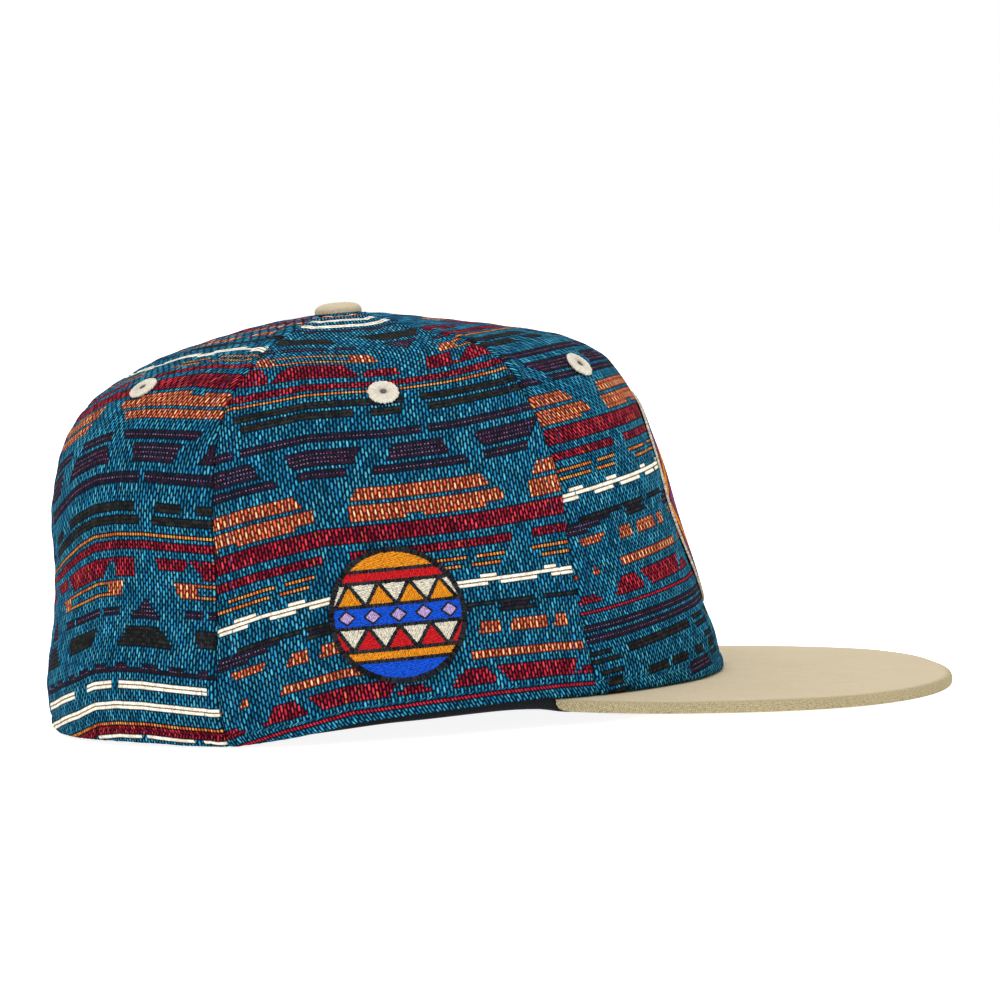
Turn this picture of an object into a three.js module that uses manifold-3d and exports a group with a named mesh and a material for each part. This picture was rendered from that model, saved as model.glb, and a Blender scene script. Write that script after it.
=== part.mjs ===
// Fitted baseball cap: six woven crown panels, a flat visor, sweatband, button, eyelets and two patches.
// Shapes are worked out in the crown's own frame, in millimetres: the origin is the middle of the rim,
// x points to the visor, y to the wearer's left and z up. The finished cap is then tilted to its rest.
import * as THREE from "three";
import { mergeVertices } from "three/addons/utils/BufferGeometryUtils.js";
import Module from "manifold-3d";

const wasm = await Module();
wasm.setup();

const degrees = Math.PI / 180;
const clothWall = 1.6;
const pieceGap = 0.3;
const seamGap = 0.3;
const panelSwell = 0.8;
const panelColumns = 8;
const panelRows = 16;

// Level sections of the crown: reach ahead, reach behind and half width at each height.
const crownSections = [
  { height: -6, front: 102.3, back: 96.5, side: 86.8 },
  { height: 0, front: 101.5, back: 98.8, side: 88 },
  { height: 10, front: 99.9, back: 99.7, side: 89 },
  { height: 20, front: 96.8, back: 98.2, side: 88 },
  { height: 30, front: 94.3, back: 95.9, side: 86.3 },
  { height: 45, front: 90.5, back: 94.2, side: 84.5 },
  { height: 60, front: 87.5, back: 93.9, side: 82.5 },
  { height: 70, front: 84.8, back: 92, side: 79.5 },
  { height: 80, front: 82, back: 89, side: 75 },
  { height: 88, front: 78.1, back: 84.2, side: 69 },
  { height: 95, front: 72.6, back: 77, side: 61 },
  { height: 101, front: 62, back: 66, side: 51.5 },
  { height: 105, front: 46.5, back: 56, side: 41 },
  { height: 109, front: 26.5, back: 40, side: 28 },
  { height: 112, front: 10, back: 24, side: 16 },
  { height: 113.4, front: -1.2, back: 6.8, side: 2.8 },
];

// Where the side seams stand round the crown, in degrees from the visor, at a distance up the cloth.
const seamBends = [
  { up: 0, front: 59, back: 122.5 },
  { up: 35, front: 57.5, back: 122.3 },
  { up: 65, front: 55, back: 121 },
  { up: 95, front: 57, back: 120.2 },
  { up: 125, front: 57, back: 118.5 },
  { up: 139, front: 53, back: 116 },
  { up: 151, front: 47, back: 114.5 },
  { up: 164, front: 51.5, back: 123.5 },
];

// Height of the crown's lower edge behind the visor, which dips most at the back seams.
const rimBends = [
  { angle: 63.5, height: 1.3 },
  { angle: 70, height: 2.2 },
  { angle: 83, height: 2.2 },
  { angle: 98, height: 1.2 },
  { angle: 106, height: -0.8 },
  { angle: 111, height: -2.1 },
  { angle: 121.5, height: -3.8 },
  { angle: 130, height: -3.2 },
  { angle: 138, height: -2.3 },
  { angle: 149, height: -1.8 },
  { angle: 180, height: -2 },
];

// Height of the sweatband's lower edge behind the visor, where it shows under the rim at the ears.
const sweatbandBends = [
  { angle: 63.5, height: -3.3 },
  { angle: 66, height: -2.6 },
  { angle: 70, height: -1 },
  { angle: 77, height: 0 },
  { angle: 90, height: 0 },
  { angle: 97, height: -0.2 },
  { angle: 110, height: -1.8 },
  { angle: 121.5, height: -3.1 },
  { angle: 138, height: -1.7 },
  { angle: 180, height: -1.3 },
];

const visor = {
  thickness: 3.4,
  cornerAngle: 63.5,
  cornerRound: 7,
  cornerWidth: 0.3,
  tip: 168.6,
  widest: 80,
  halfWidth: 88,
  frontPower: 2.5,
  rearNarrowing: 9,
  rear: 45,
  frontX: 101,
  frontHeight: -1.5,
  slope: 0.091,
  droop: 2.92,
  droopX: 50,
  droopLength: 400,
  droopWidth: 84,
  edgeChamfer: 1.2,
  edgeFlat: 1.2,
  frontShare: 0.8,
  edgeSteps: 400,
  columns: 36,
  rowShares: [0, 0.25, 0.5, 0.75],
};

const sweatband = { wall: 1.2, clearance: 0.45, topUp: 32, belowVisor: 0.4, columns: 48, rows: 3 };

const eyelet = {
  radius: 4.65,
  height: 0.9,
  seat: 0.35,
  round: 0.5,
  boreRadius: 0.9,
  neckRadius: 1.8,
  holeRadius: 2.2,
  neckDepth: 1.7,
  segments: 12,
};
const eyeletPlaces = [
  { panel: "front", angle: 36, up: 98 },
  { panel: "side", angle: 87.5, up: 94.5 },
  { panel: "back", angle: 148, up: 104.5 },
];

const button = {
  x: -4,
  radius: 6.9,
  under: 113.7,
  rimDrop: 0.4,
  rimHeight: 0.9,
  top: 116.6,
  shankRadius: 2.1,
  shankDepth: 3.4,
  segments: 24,
  domeSteps: 4,
};

const patchSeat = 0.35;
const patchRings = [0, 0.4, 0.75, 0.955];
const patchSegments = 28;
const sidePatch = { angle: -91, up: 30, halfWidth: 19, halfHeight: 19, power: 2, wall: 1.2 };
const frontPatch = { angle: 0, up: 51, halfWidth: 27, halfHeight: 34, power: 1.7, wall: 0.8 };

const finishes = {
  jacquard: { color: 0x1f5a78, roughness: 0.85, metalness: 0 },
  canvas: { color: 0xcdbf9f, roughness: 0.9, metalness: 0 },
  twill: { color: 0x14161a, roughness: 0.9, metalness: 0 },
  creamThread: { color: 0xe9e1d0, roughness: 0.7, metalness: 0 },
  embroidery: { color: 0xb0402c, roughness: 0.6, metalness: 0 },
};

// Smooth curve through the named column of a table, read at a place on its first column.
function curveThrough(places, values) {
  const last = places.length - 1;
  const slopes = values.map((value, i) => {
    const before = Math.max(i - 1, 0);
    const after = Math.min(i + 1, last);
    return (values[after] - values[before]) / (places[after] - places[before]);
  });
  return (place) => {
    let i = 0;
    while (i < last - 1 && places[i + 1] <= place) i += 1;
    const span = places[i + 1] - places[i];
    const t = (place - places[i]) / span;
    const ease = t * t * (3 - 2 * t);
    const leave = t * (1 - t) * (1 - t) * span;
    const arrive = t * t * (t - 1) * span;
    return values[i] + (values[i + 1] - values[i]) * ease + slopes[i] * leave + slopes[i + 1] * arrive;
  };
}

function tableCurve(table, placeColumn, valueColumn) {
  return curveThrough(table.map((row) => row[placeColumn]), table.map((row) => row[valueColumn]));
}

// Distance up the cloth of each section, measured along the side of the crown from the rim.
const sectionUps = [0];
for (let i = 1; i < crownSections.length; i += 1) {
  const lower = crownSections[i - 1];
  const upper = crownSections[i];
  sectionUps.push(sectionUps[i - 1] + Math.hypot(upper.height - lower.height, upper.side - lower.side));
}
const rimUpOffset = sectionUps[1];
sectionUps.forEach((up, i) => {
  sectionUps[i] = up - rimUpOffset;
});
const topUp = sectionUps[sectionUps.length - 1];

const sectionCurve = {};
for (const column of ["height", "front", "back", "side"]) {
  sectionCurve[column] = curveThrough(sectionUps, crownSections.map((row) => row[column]));
}
const frontSeam = tableCurve(seamBends, "up", "front");
const backSeam = tableCurve(seamBends, "up", "back");
const rimCurve = tableCurve(rimBends, "angle", "height");
const sweatbandCurve = tableCurve(sweatbandBends, "angle", "height");

function seamAngles(up) {
  return [0, frontSeam(up) * degrees, backSeam(up) * degrees, Math.PI];
}

// A level section is an ellipse, with angles counted from the visor towards the wearer's left.
function sectionPoint(angle, up) {
  const front = sectionCurve.front(up);
  const back = sectionCurve.back(up);
  const x = (front - back) / 2 + ((front + back) / 2) * Math.cos(angle);
  return new THREE.Vector3(x, sectionCurve.side(up) * Math.sin(angle), sectionCurve.height(up));
}

function crownNormal(angle, up) {
  const turn = 0.001;
  const rise = 0.05;
  const around = sectionPoint(angle + turn, up).sub(sectionPoint(angle - turn, up));
  const upward = sectionPoint(angle, up + rise).sub(sectionPoint(angle, up - rise));
  return around.cross(upward).normalize();
}

function arcRate(angle, up) {
  const reach = (sectionCurve.front(up) + sectionCurve.back(up)) / 2;
  return Math.hypot(reach * Math.sin(angle), sectionCurve.side(up) * Math.cos(angle));
}

// Each panel swells a little between its two seams.
function swell(angle, up) {
  const seams = seamAngles(up);
  const away = Math.min(Math.abs(angle), Math.PI);
  let i = 0;
  while (i < seams.length - 2 && seams[i + 1] < away) i += 1;
  const share = (away - seams[i]) / (seams[i + 1] - seams[i]);
  const widest = crownSections[1].side;
  return (panelSwell * Math.sin(Math.PI * share) ** 2 * sectionCurve.side(up)) / widest;
}

function crownPoint(angle, up, out) {
  return sectionPoint(angle, up).addScaledVector(crownNormal(angle, up), swell(angle, up) + out);
}

function visorTop(x, y) {
  const rearShare = Math.max(0, 1 - (x - visor.droopX) / visor.droopLength);
  const sideShare = (y / visor.droopWidth) ** 2;
  return visor.frontHeight - visor.slope * (x - visor.frontX) - visor.droop * rearShare * sideShare;
}

function rimHeight(angle, point) {
  const away = Math.abs(angle) / degrees;
  return away < visor.cornerAngle ? visorTop(point.x, point.y) + pieceGap : rimCurve(away);
}

function sweatbandHeight(angle, point) {
  const away = Math.abs(angle) / degrees;
  if (away >= visor.cornerAngle) return sweatbandCurve(away);
  return visorTop(point.x, point.y) - visor.thickness - sweatband.belowVisor;
}

// Distance up the cloth where a surface at the given depth meets the height that a function asks for.
function upAtHeight(angle, out, heightOf) {
  const steps = 6;
  let up = 0;
  for (let step = 0; step < steps; step += 1) {
    const point = crownPoint(angle, up, out);
    up += heightOf(angle, point) - point.z;
  }
  return up;
}

// One closed body between two grids of points of the same size, the first one facing out.
function bodyBetween(front, back, ringed) {
  const positions = [];
  const rows = front.length - 1;
  const columns = front[0].length - 1;
  function quad(a, b, c, d) {
    for (const point of [a, b, c, a, c, d]) positions.push(point.x, point.y, point.z);
  }
  for (let i = 0; i < rows; i += 1) {
    for (let j = 0; j < columns; j += 1) {
      quad(front[i][j], front[i][j + 1], front[i + 1][j + 1], front[i + 1][j]);
      quad(back[i][j], back[i + 1][j], back[i + 1][j + 1], back[i][j + 1]);
    }
    if (!ringed) {
      quad(front[i][0], front[i + 1][0], back[i + 1][0], back[i][0]);
      quad(front[i][columns], back[i][columns], back[i + 1][columns], front[i + 1][columns]);
    }
  }
  for (let j = 0; j < columns; j += 1) {
    quad(front[0][j], back[0][j], back[0][j + 1], front[0][j + 1]);
    quad(front[rows][j], front[rows][j + 1], back[rows][j + 1], back[rows][j]);
  }
  return welded(positions);
}

// Corners that share a place become one, and faces that shrink to a line at a pole are left out.
function welded(positions) {
  const loose = new THREE.BufferGeometry();
  loose.setAttribute("position", new THREE.Float32BufferAttribute(positions, 3));
  const geometry = mergeVertices(loose, 1e-4);
  const corners = geometry.index.array;
  const kept = [];
  for (let i = 0; i < corners.length; i += 3) {
    const [a, b, c] = [corners[i], corners[i + 1], corners[i + 2]];
    if (a !== b && b !== c && c !== a) kept.push(a, b, c);
  }
  geometry.setIndex(kept);
  return geometry;
}

function toManifold(geometry) {
  const bare = geometry.clone();
  bare.deleteAttribute("normal");
  bare.deleteAttribute("uv");
  const merged = mergeVertices(bare, 1e-4);
  const mesh = new wasm.Mesh({
    numProp: 3,
    vertProperties: new Float32Array(merged.attributes.position.array),
    triVerts: new Uint32Array(merged.index.array),
  });
  return new wasm.Manifold(mesh);
}

function fromManifold(solid) {
  const mesh = solid.getMesh();
  const geometry = new THREE.BufferGeometry();
  geometry.setAttribute("position", new THREE.BufferAttribute(new Float32Array(mesh.vertProperties), 3));
  geometry.setIndex(new THREE.BufferAttribute(new Uint32Array(mesh.triVerts), 1));
  return geometry;
}

function lathe(outline, segments) {
  return new THREE.LatheGeometry(outline.map(([radius, height]) => new THREE.Vector2(radius, height)), segments);
}

// A lathe's axis is y, so this stands it on the crown with its axis along the cloth's normal.
function standOnCrown(geometry, angle, up) {
  const normal = crownNormal(angle, up);
  const place = crownPoint(angle, up, 0);
  const turn = new THREE.Quaternion().setFromUnitVectors(new THREE.Vector3(0, 1, 0), normal);
  return geometry.applyQuaternion(turn).translate(place.x, place.y, place.z);
}

function crownPanel(place, side, section) {
  const outer = [];
  const inner = [];
  for (let i = 0; i <= panelRows; i += 1) {
    const outerRow = [];
    const innerRow = [];
    for (let j = 0; j <= panelColumns; j += 1) {
      const share = j / panelColumns;
      const rimSeams = seamAngles(0);
      const rimAngle = side * THREE.MathUtils.lerp(rimSeams[section], rimSeams[section + 1], share);
      const up = THREE.MathUtils.lerp(upAtHeight(rimAngle, 0, rimHeight), topUp, i / panelRows);
      const seams = seamAngles(up);
      const start = seams[section] + seamGap / 2 / arcRate(seams[section], up);
      const end = seams[section + 1] - seamGap / 2 / arcRate(seams[section + 1], up);
      const angle = side * THREE.MathUtils.lerp(start, end, share);
      const innerPoint = crownPoint(angle, up, -clothWall);
      if (i === 0) innerPoint.z = rimHeight(angle, innerPoint);
      outerRow.push(crownPoint(angle, up, 0));
      innerRow.push(innerPoint);
    }
    if (side < 0) {
      outerRow.reverse();
      innerRow.reverse();
    }
    outer.push(outerRow);
    inner.push(innerRow);
  }
  const cloth = bodyBetween(outer, inner, false);
  const hole = new THREE.CylinderGeometry(eyelet.holeRadius, eyelet.holeRadius, 8 * clothWall, eyelet.segments);
  standOnCrown(hole, side * place.angle * degrees, place.up);
  return fromManifold(toManifold(cloth).subtract(toManifold(hole)));
}

function eyeletRing(place, side) {
  const top = eyelet.seat + eyelet.height;
  const ring = lathe([
    [eyelet.boreRadius, -eyelet.neckDepth],
    [eyelet.neckRadius, -eyelet.neckDepth],
    [eyelet.neckRadius, eyelet.seat],
    [eyelet.radius, eyelet.seat],
    [eyelet.radius, top - eyelet.round],
    [eyelet.radius - eyelet.round, top],
    [eyelet.boreRadius + eyelet.round, top],
    [eyelet.boreRadius, -eyelet.neckDepth],
  ], eyelet.segments);
  return standOnCrown(ring, side * place.angle * degrees, place.up);
}

function topButton() {
  const outline = [
    [0, button.under - button.shankDepth],
    [button.shankRadius, button.under - button.shankDepth],
    [button.shankRadius, button.under],
    [button.radius, button.under - button.rimDrop],
  ];
  const domeBase = button.under - button.rimDrop + button.rimHeight;
  for (let i = 0; i <= button.domeSteps; i += 1) {
    const turn = (i / button.domeSteps) * 90 * degrees;
    const rise = (button.top - domeBase) * Math.sin(turn);
    outline.push([i === button.domeSteps ? 0 : button.radius * Math.cos(turn), domeBase + rise]);
  }
  return lathe(outline, button.segments).rotateX(90 * degrees).translate(button.x, 0, 0);
}

// The visor's outer edge as a curve from the right corner round the tip to the left corner.
function visorEdge(share) {
  const turn = Math.abs(2 * share - 1);
  const side = Math.sign(2 * share - 1);
  if (turn > visor.frontShare) {
    const back = ((turn - visor.frontShare) / (1 - visor.frontShare)) * (visor.widest - visor.rear);
    const narrowing = visor.rearNarrowing * (back / (visor.widest - visor.rear)) ** 2;
    return new THREE.Vector2(visor.widest - back, side * (visor.halfWidth - narrowing));
  }
  const angle = (turn / visor.frontShare) * 90 * degrees;
  const power = 2 / visor.frontPower;
  const ahead = (visor.tip - visor.widest) * Math.cos(angle) ** power;
  return new THREE.Vector2(visor.widest + ahead, side * visor.halfWidth * Math.sin(angle) ** power);
}

function visorSlab() {
  const edge = [];
  for (let i = 0; i <= visor.edgeSteps; i += 1) edge.push(visorEdge(i / visor.edgeSteps));
  const reach = [0];
  edge.forEach((point, i) => {
    if (i > 0) reach.push(reach[i - 1] + point.distanceTo(edge[i - 1]));
  });
  const whole = reach[reach.length - 1];
  const edgeX = curveThrough(reach, edge.map((point) => point.x));
  const edgeY = curveThrough(reach, edge.map((point) => point.y));
  const underHeight = (angle, point) => visorTop(point.x, point.y) - visor.thickness;
  const topHeight = (angle, point) => visorTop(point.x, point.y);
  const top = [];
  const under = [];
  for (let j = 0; j <= visor.columns; j += 1) {
    const share = j / visor.columns;
    const angle = THREE.MathUtils.lerp(-visor.cornerAngle, visor.cornerAngle, share) * degrees;
    const innerTop = crownPoint(angle, upAtHeight(angle, -clothWall, topHeight), -clothWall);
    const innerUnder = crownPoint(angle, upAtHeight(angle, -clothWall, underHeight), -clothWall);
    const fromCorner = Math.min(share, 1 - share) * whole;
    const roundShare = Math.min(1, fromCorner / visor.cornerRound);
    const width = Math.max(visor.cornerWidth, Math.sqrt(1 - (1 - roundShare) ** 2));
    const outer = new THREE.Vector2(edgeX(share * whole), edgeY(share * whole));
    outer.sub(innerTop).multiplyScalar(width).add(innerTop);
    const span = Math.hypot(outer.x - innerTop.x, outer.y - innerTop.y);
    const edgeShare = 1 - Math.min(0.5, visor.edgeChamfer / span);
    const topRow = [];
    const underRow = [];
    for (const rowShare of [...visor.rowShares.map((value) => value * edgeShare), edgeShare, 1]) {
      const x = THREE.MathUtils.lerp(innerTop.x, outer.x, rowShare);
      const y = THREE.MathUtils.lerp(innerTop.y, outer.y, rowShare);
      const lowX = THREE.MathUtils.lerp(innerUnder.x, outer.x, rowShare);
      const lowY = THREE.MathUtils.lerp(innerUnder.y, outer.y, rowShare);
      const pinch = rowShare === 1 ? (visor.thickness - visor.edgeFlat) / 2 : 0;
      topRow.push(new THREE.Vector3(x, y, visorTop(x, y) - pinch));
      underRow.push(new THREE.Vector3(lowX, lowY, visorTop(lowX, lowY) - visor.thickness + pinch));
    }
    top.push(topRow);
    under.push(underRow);
  }
  return bodyBetween(top, under, false);
}

function sweatbandRing() {
  const outer = [];
  const inner = [];
  const outerDepth = -clothWall - sweatband.clearance;
  for (let i = 0; i <= sweatband.rows; i += 1) {
    const outerRow = [];
    const innerRow = [];
    for (let j = 0; j <= sweatband.columns; j += 1) {
      const angle = ((j / sweatband.columns) * 2 - 1) * Math.PI;
      const bottom = upAtHeight(angle, outerDepth, sweatbandHeight);
      const up = THREE.MathUtils.lerp(bottom, sweatband.topUp, i / sweatband.rows);
      outerRow.push(crownPoint(angle, up, outerDepth));
      innerRow.push(crownPoint(angle, up, outerDepth - sweatband.wall));
    }
    outer.push(outerRow);
    inner.push(innerRow);
  }
  return bodyBetween(outer, inner, true);
}

// A patch lies on the crown: rings of points round its middle, at its underside and at its face.
function patch(shape) {
  const middle = shape.angle * degrees;
  const face = [];
  const under = [];
  for (const ring of [...patchRings, 1]) {
    const faceRow = [];
    const underRow = [];
    for (let j = 0; j <= patchSegments; j += 1) {
      const turn = (j / patchSegments) * 2 * Math.PI;
      const power = 2 / shape.power;
      const across = Math.sign(Math.cos(turn)) * Math.abs(Math.cos(turn)) ** power;
      const along = Math.sign(Math.sin(turn)) * Math.abs(Math.sin(turn)) ** power;
      const angle = middle + (ring * across * shape.halfWidth) / arcRate(middle, shape.up);
      const up = shape.up + ring * along * shape.halfHeight;
      const lift = patchSeat + (ring === 1 ? shape.wall / 2 : shape.wall);
      faceRow.push(crownPoint(angle, up, lift));
      underRow.push(crownPoint(angle, up, patchSeat));
    }
    face.push(faceRow);
    under.push(underRow);
  }
  return bodyBetween(under, face, false);
}

function piece(name, geometry, finish) {
  const flat = geometry.toNonIndexed();
  flat.computeVertexNormals();
  const mesh = new THREE.Mesh(flat, new THREE.MeshStandardMaterial(finishes[finish]));
  mesh.name = name;
  return mesh;
}

const cap = new THREE.Group();
const sides = [
  { name: "right", sign: -1 },
  { name: "left", sign: 1 },
];
for (const side of sides) {
  eyeletPlaces.forEach((place, section) => {
    const where = `${place.panel}_${side.name}`;
    cap.add(piece(`crown_${where}`, crownPanel(place, side.sign, section), "jacquard"));
    cap.add(piece(`eyelet_${where}`, eyeletRing(place, side.sign), "creamThread"));
  });
}
cap.add(piece("top_button", topButton(), "canvas"));
cap.add(piece("visor", visorSlab(), "canvas"));
cap.add(piece("sweatband", sweatbandRing(), "twill"));
cap.add(piece("side_patch", patch(sidePatch), "embroidery"));
cap.add(piece("front_patch", patch(frontPatch), "embroidery"));

// At rest the cap stands on its rim at the two back seams and on the underside of the visor's tip.
const backSeamAngle = seamAngles(0)[2];
const rimFoot = crownPoint(backSeamAngle, upAtHeight(backSeamAngle, 0, rimHeight), 0);
const toeX = visor.tip - visor.edgeChamfer;
const toeZ = visorTop(toeX, 0) - visor.thickness;
cap.rotation.y = Math.atan2(toeZ - rimFoot.z, toeX - rimFoot.x);

const fittedCap = new THREE.Group();
fittedCap.add(cap);
fittedCap.updateMatrixWorld(true);
const reachBox = new THREE.Box3().setFromObject(fittedCap, true);
const middle = reachBox.getCenter(new THREE.Vector3());
cap.position.set(-middle.x, -middle.y, -reachBox.min.z);

export default fittedCap;
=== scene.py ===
import math

import bpy
import numpy as np
from mathutils import Matrix, Vector


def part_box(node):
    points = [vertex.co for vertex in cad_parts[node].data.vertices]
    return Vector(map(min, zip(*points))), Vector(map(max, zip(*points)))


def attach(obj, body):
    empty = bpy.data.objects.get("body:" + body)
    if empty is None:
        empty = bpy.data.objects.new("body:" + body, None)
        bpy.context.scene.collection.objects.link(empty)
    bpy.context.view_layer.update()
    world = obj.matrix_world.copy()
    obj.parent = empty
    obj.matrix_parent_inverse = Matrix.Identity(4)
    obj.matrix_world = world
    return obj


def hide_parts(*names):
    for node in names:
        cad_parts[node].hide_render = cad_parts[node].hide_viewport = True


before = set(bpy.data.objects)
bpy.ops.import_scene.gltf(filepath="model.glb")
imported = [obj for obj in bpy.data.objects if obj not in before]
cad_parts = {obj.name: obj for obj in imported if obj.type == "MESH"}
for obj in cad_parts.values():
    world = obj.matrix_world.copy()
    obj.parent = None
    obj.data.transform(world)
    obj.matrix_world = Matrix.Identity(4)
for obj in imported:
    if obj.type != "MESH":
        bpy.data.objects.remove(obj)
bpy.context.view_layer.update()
bpy.ops.object.select_all(action="DESELECT")
chance = np.random.default_rng(12)

# All shapes are worked out in millimetres in the crown's own frame, as the CAD does:
# the origin is the middle of the rim, x points to the visor, y to the wearer's left and z up.
crown = {
    "height": (-6, 0, 10, 20, 30, 45, 60, 70, 80, 88, 95, 101, 105, 109, 112, 113.4),
    "front": (102.3, 101.5, 99.9, 96.8, 94.3, 90.5, 87.5, 84.8, 82, 78.1, 72.6, 62, 46.5, 26.5, 10, -1.2),
    "back": (96.5, 98.8, 99.7, 98.2, 95.9, 94.2, 93.9, 92, 89, 84.2, 77, 66, 56, 40, 24, 6.8),
    "side": (86.8, 88, 89, 88, 86.3, 84.5, 82.5, 79.5, 75, 69, 61, 51.5, 41, 28, 16, 2.8),
    "seamUp": (0, 35, 65, 95, 125, 139, 151, 164),
    "frontSeam": (59, 57.5, 55, 57, 57, 53, 47, 51.5),  # degrees from the visor
    "backSeam": (122.5, 122.3, 121, 120.2, 118.5, 116, 114.5, 123.5),
    "rimAngle": (63.5, 70, 83, 98, 106, 111, 121.5, 130, 138, 149, 180),
    "rimHeight": (1.3, 2.2, 2.2, 1.2, -0.8, -2.1, -3.8, -3.2, -2.3, -1.8, -2),
    "swell": 0.8,
    "wall": 1.6,
    "overVisor": 0.3,
}
visor = {
    "thickness": 3.4,
    "cornerAngle": 63.5,
    "cornerRound": 7,
    "cornerWidth": 0.3,
    "tip": 168.6,
    "widest": 80,
    "halfWidth": 88,
    "frontPower": 2.5,
    "frontShare": 0.8,
    "rearNarrowing": 7.2,
    "rear": 40.5,
    "coverAngle": 66.8,
    "frontX": 101,
    "frontHeight": -1.5,
    "slope": 0.091,
    "droop": 2.92,
    "droopX": 50,
    "droopLength": 400,
    "droopWidth": 84,
    "edgeChamfer": 1.2,
    "edgeFlat": 1.2,
    "alongSteps": 300,
    "acrossSteps": 22,
    "edgeSteps": 12,
    "wallSteps": 3,
    "edgeRound": 1.55,
    "taper": 5,
}


def curveThrough(places, values):
    # A smooth curve through values at rising places.
    places, values = np.array(places, float), np.array(values, float)
    slopes = np.empty_like(values)
    slopes[1:-1] = (values[2:] - values[:-2]) / (places[2:] - places[:-2])
    slopes[0] = (values[1] - values[0]) / (places[1] - places[0])
    slopes[-1] = (values[-1] - values[-2]) / (places[-1] - places[-2])

    def read(at):
        at = np.asarray(at, float)
        i = np.clip(np.searchsorted(places, at, side="right") - 1, 0, len(places) - 2)
        span = places[i + 1] - places[i]
        t = (at - places[i]) / span
        rise = (values[i + 1] - values[i]) * t * t * (3 - 2 * t)
        return values[i] + rise + span * t * (1 - t) * (slopes[i] * (1 - t) - slopes[i + 1] * t)

    return read


heights, halfWidths = np.array(crown["height"], float), np.array(crown["side"], float)
sectionUps = np.concatenate([[0], np.cumsum(np.hypot(np.diff(heights), np.diff(halfWidths)))])
sectionUps -= sectionUps[1]  # distance up the cloth is counted from the rim's level
topUp = sectionUps[-1]
sectionCurve = {k: curveThrough(sectionUps, crown[k]) for k in ("height", "front", "back", "side")}
frontSeam = curveThrough(crown["seamUp"], crown["frontSeam"])
backSeam = curveThrough(crown["seamUp"], crown["backSeam"])
rimCurve = curveThrough(crown["rimAngle"], crown["rimHeight"])


def seamAngles(up):
    up = np.asarray(up, float)
    return [up * 0, np.radians(frontSeam(up)), np.radians(backSeam(up)), up * 0 + math.pi]


def sectionPoint(angle, up):
    front, back = sectionCurve["front"](up), sectionCurve["back"](up)
    x = (front - back) / 2 + (front + back) / 2 * np.cos(angle)
    return np.stack([x, sectionCurve["side"](up) * np.sin(angle), sectionCurve["height"](up)], -1)


def crownNormal(angle, up):
    around = sectionPoint(angle + 0.001, up) - sectionPoint(angle - 0.001, up)
    upward = sectionPoint(angle, up + 0.05) - sectionPoint(angle, up - 0.05)
    normal = np.cross(around, upward)
    return normal / np.linalg.norm(normal, axis=-1, keepdims=True)


def arcRate(angle, up):
    # Mm along the level ring for each radian.
    reach = (sectionCurve["front"](up) + sectionCurve["back"](up)) / 2
    return np.hypot(reach * np.sin(angle), sectionCurve["side"](up) * np.cos(angle))


def swell(angle, up):
    # Each panel swells a little between its seams.
    seams = seamAngles(up)
    away = np.minimum(np.abs(angle), math.pi)
    low = np.where(away < seams[1], seams[0], np.where(away < seams[2], seams[1], seams[2]))
    high = np.where(away < seams[1], seams[1], np.where(away < seams[2], seams[2], seams[3]))
    share = (away - low) / (high - low)
    return crown["swell"] * np.sin(math.pi * share) ** 2 * sectionCurve["side"](up) / crown["side"][1]


def crownPoint(angle, up, out):
    angle, up = np.asarray(angle, float), np.asarray(up, float)
    return sectionPoint(angle, up) + crownNormal(angle, up) * (swell(angle, up) + out)[..., None]


def visorTop(x, y):
    rearShare = np.maximum(0, 1 - (x - visor["droopX"]) / visor["droopLength"])
    droop = visor["droop"] * rearShare * (y / visor["droopWidth"]) ** 2
    return visor["frontHeight"] - visor["slope"] * (x - visor["frontX"]) - droop


def rimLevel(angle, point):
    away = np.degrees(np.abs(angle))
    onVisor = visorTop(point[..., 0], point[..., 1]) + crown["overVisor"]
    return np.where(away < visor["cornerAngle"], onVisor, rimCurve(away))


def upAtLevel(angle, out, levelOf):
    angle = np.asarray(angle, float)
    up = angle * 0
    for step in range(6):
        point = crownPoint(angle, up, angle * 0 + out)
        up = up + levelOf(angle, point) - point[..., 2]
    return up


# The cap rests on its rim at the back seams and on the underside of the visor's tip.
footAngle = np.radians(backSeam(0.0))
rimFoot = crownPoint(footAngle, upAtLevel(footAngle, 0.0, rimLevel), np.float64(0))
toeX = visor["tip"] - visor["edgeChamfer"]
toeZ = visorTop(toeX, 0.0) - visor["thickness"]
restTilt = math.atan2(toeZ - rimFoot[2], toeX - rimFoot[0])
tipZ = visorTop(visor["tip"], 0.0) - (visor["thickness"] + visor["edgeFlat"]) / 2
buttonTop = {"x": -4, "z": 116.6}


def turned(points):
    points = np.asarray(points, float)
    x, y, z = points[..., 0], points[..., 1], points[..., 2]
    a, b = math.cos(restTilt), math.sin(restTilt)
    return np.stack([x * a + z * b, y, z * a - x * b], -1)


restShift = np.array([
    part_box("visor")[1].x * 1000 - turned([visor["tip"], 0, tipZ])[0],
    0,
    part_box("top_button")[1].z * 1000 - turned([buttonTop["x"], 0, buttonTop["z"]])[2],
])


def placed(points):
    return (turned(points) + restShift) / 1000


gaussPlaces, gaussWeights = np.polynomial.legendre.leggauss(6)


def arcFrom(start, angle, up):
    # Length of the level ring between two angles.
    half = (angle - start) / 2
    total = sum(w * arcRate(start + half * (1 + t), up) for t, w in zip(gaussPlaces, gaussWeights))
    return half * total


def angleAtArc(start, arc, up):
    angle = start + arc / arcRate(start, up)
    for step in range(4):
        angle = angle + (arc - arcFrom(start, angle, up)) / arcRate(angle, up)
    return angle


print("cap: crown surface ready, rest tilt", round(math.degrees(restTilt), 2), "shift", restShift.round(2))


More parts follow.
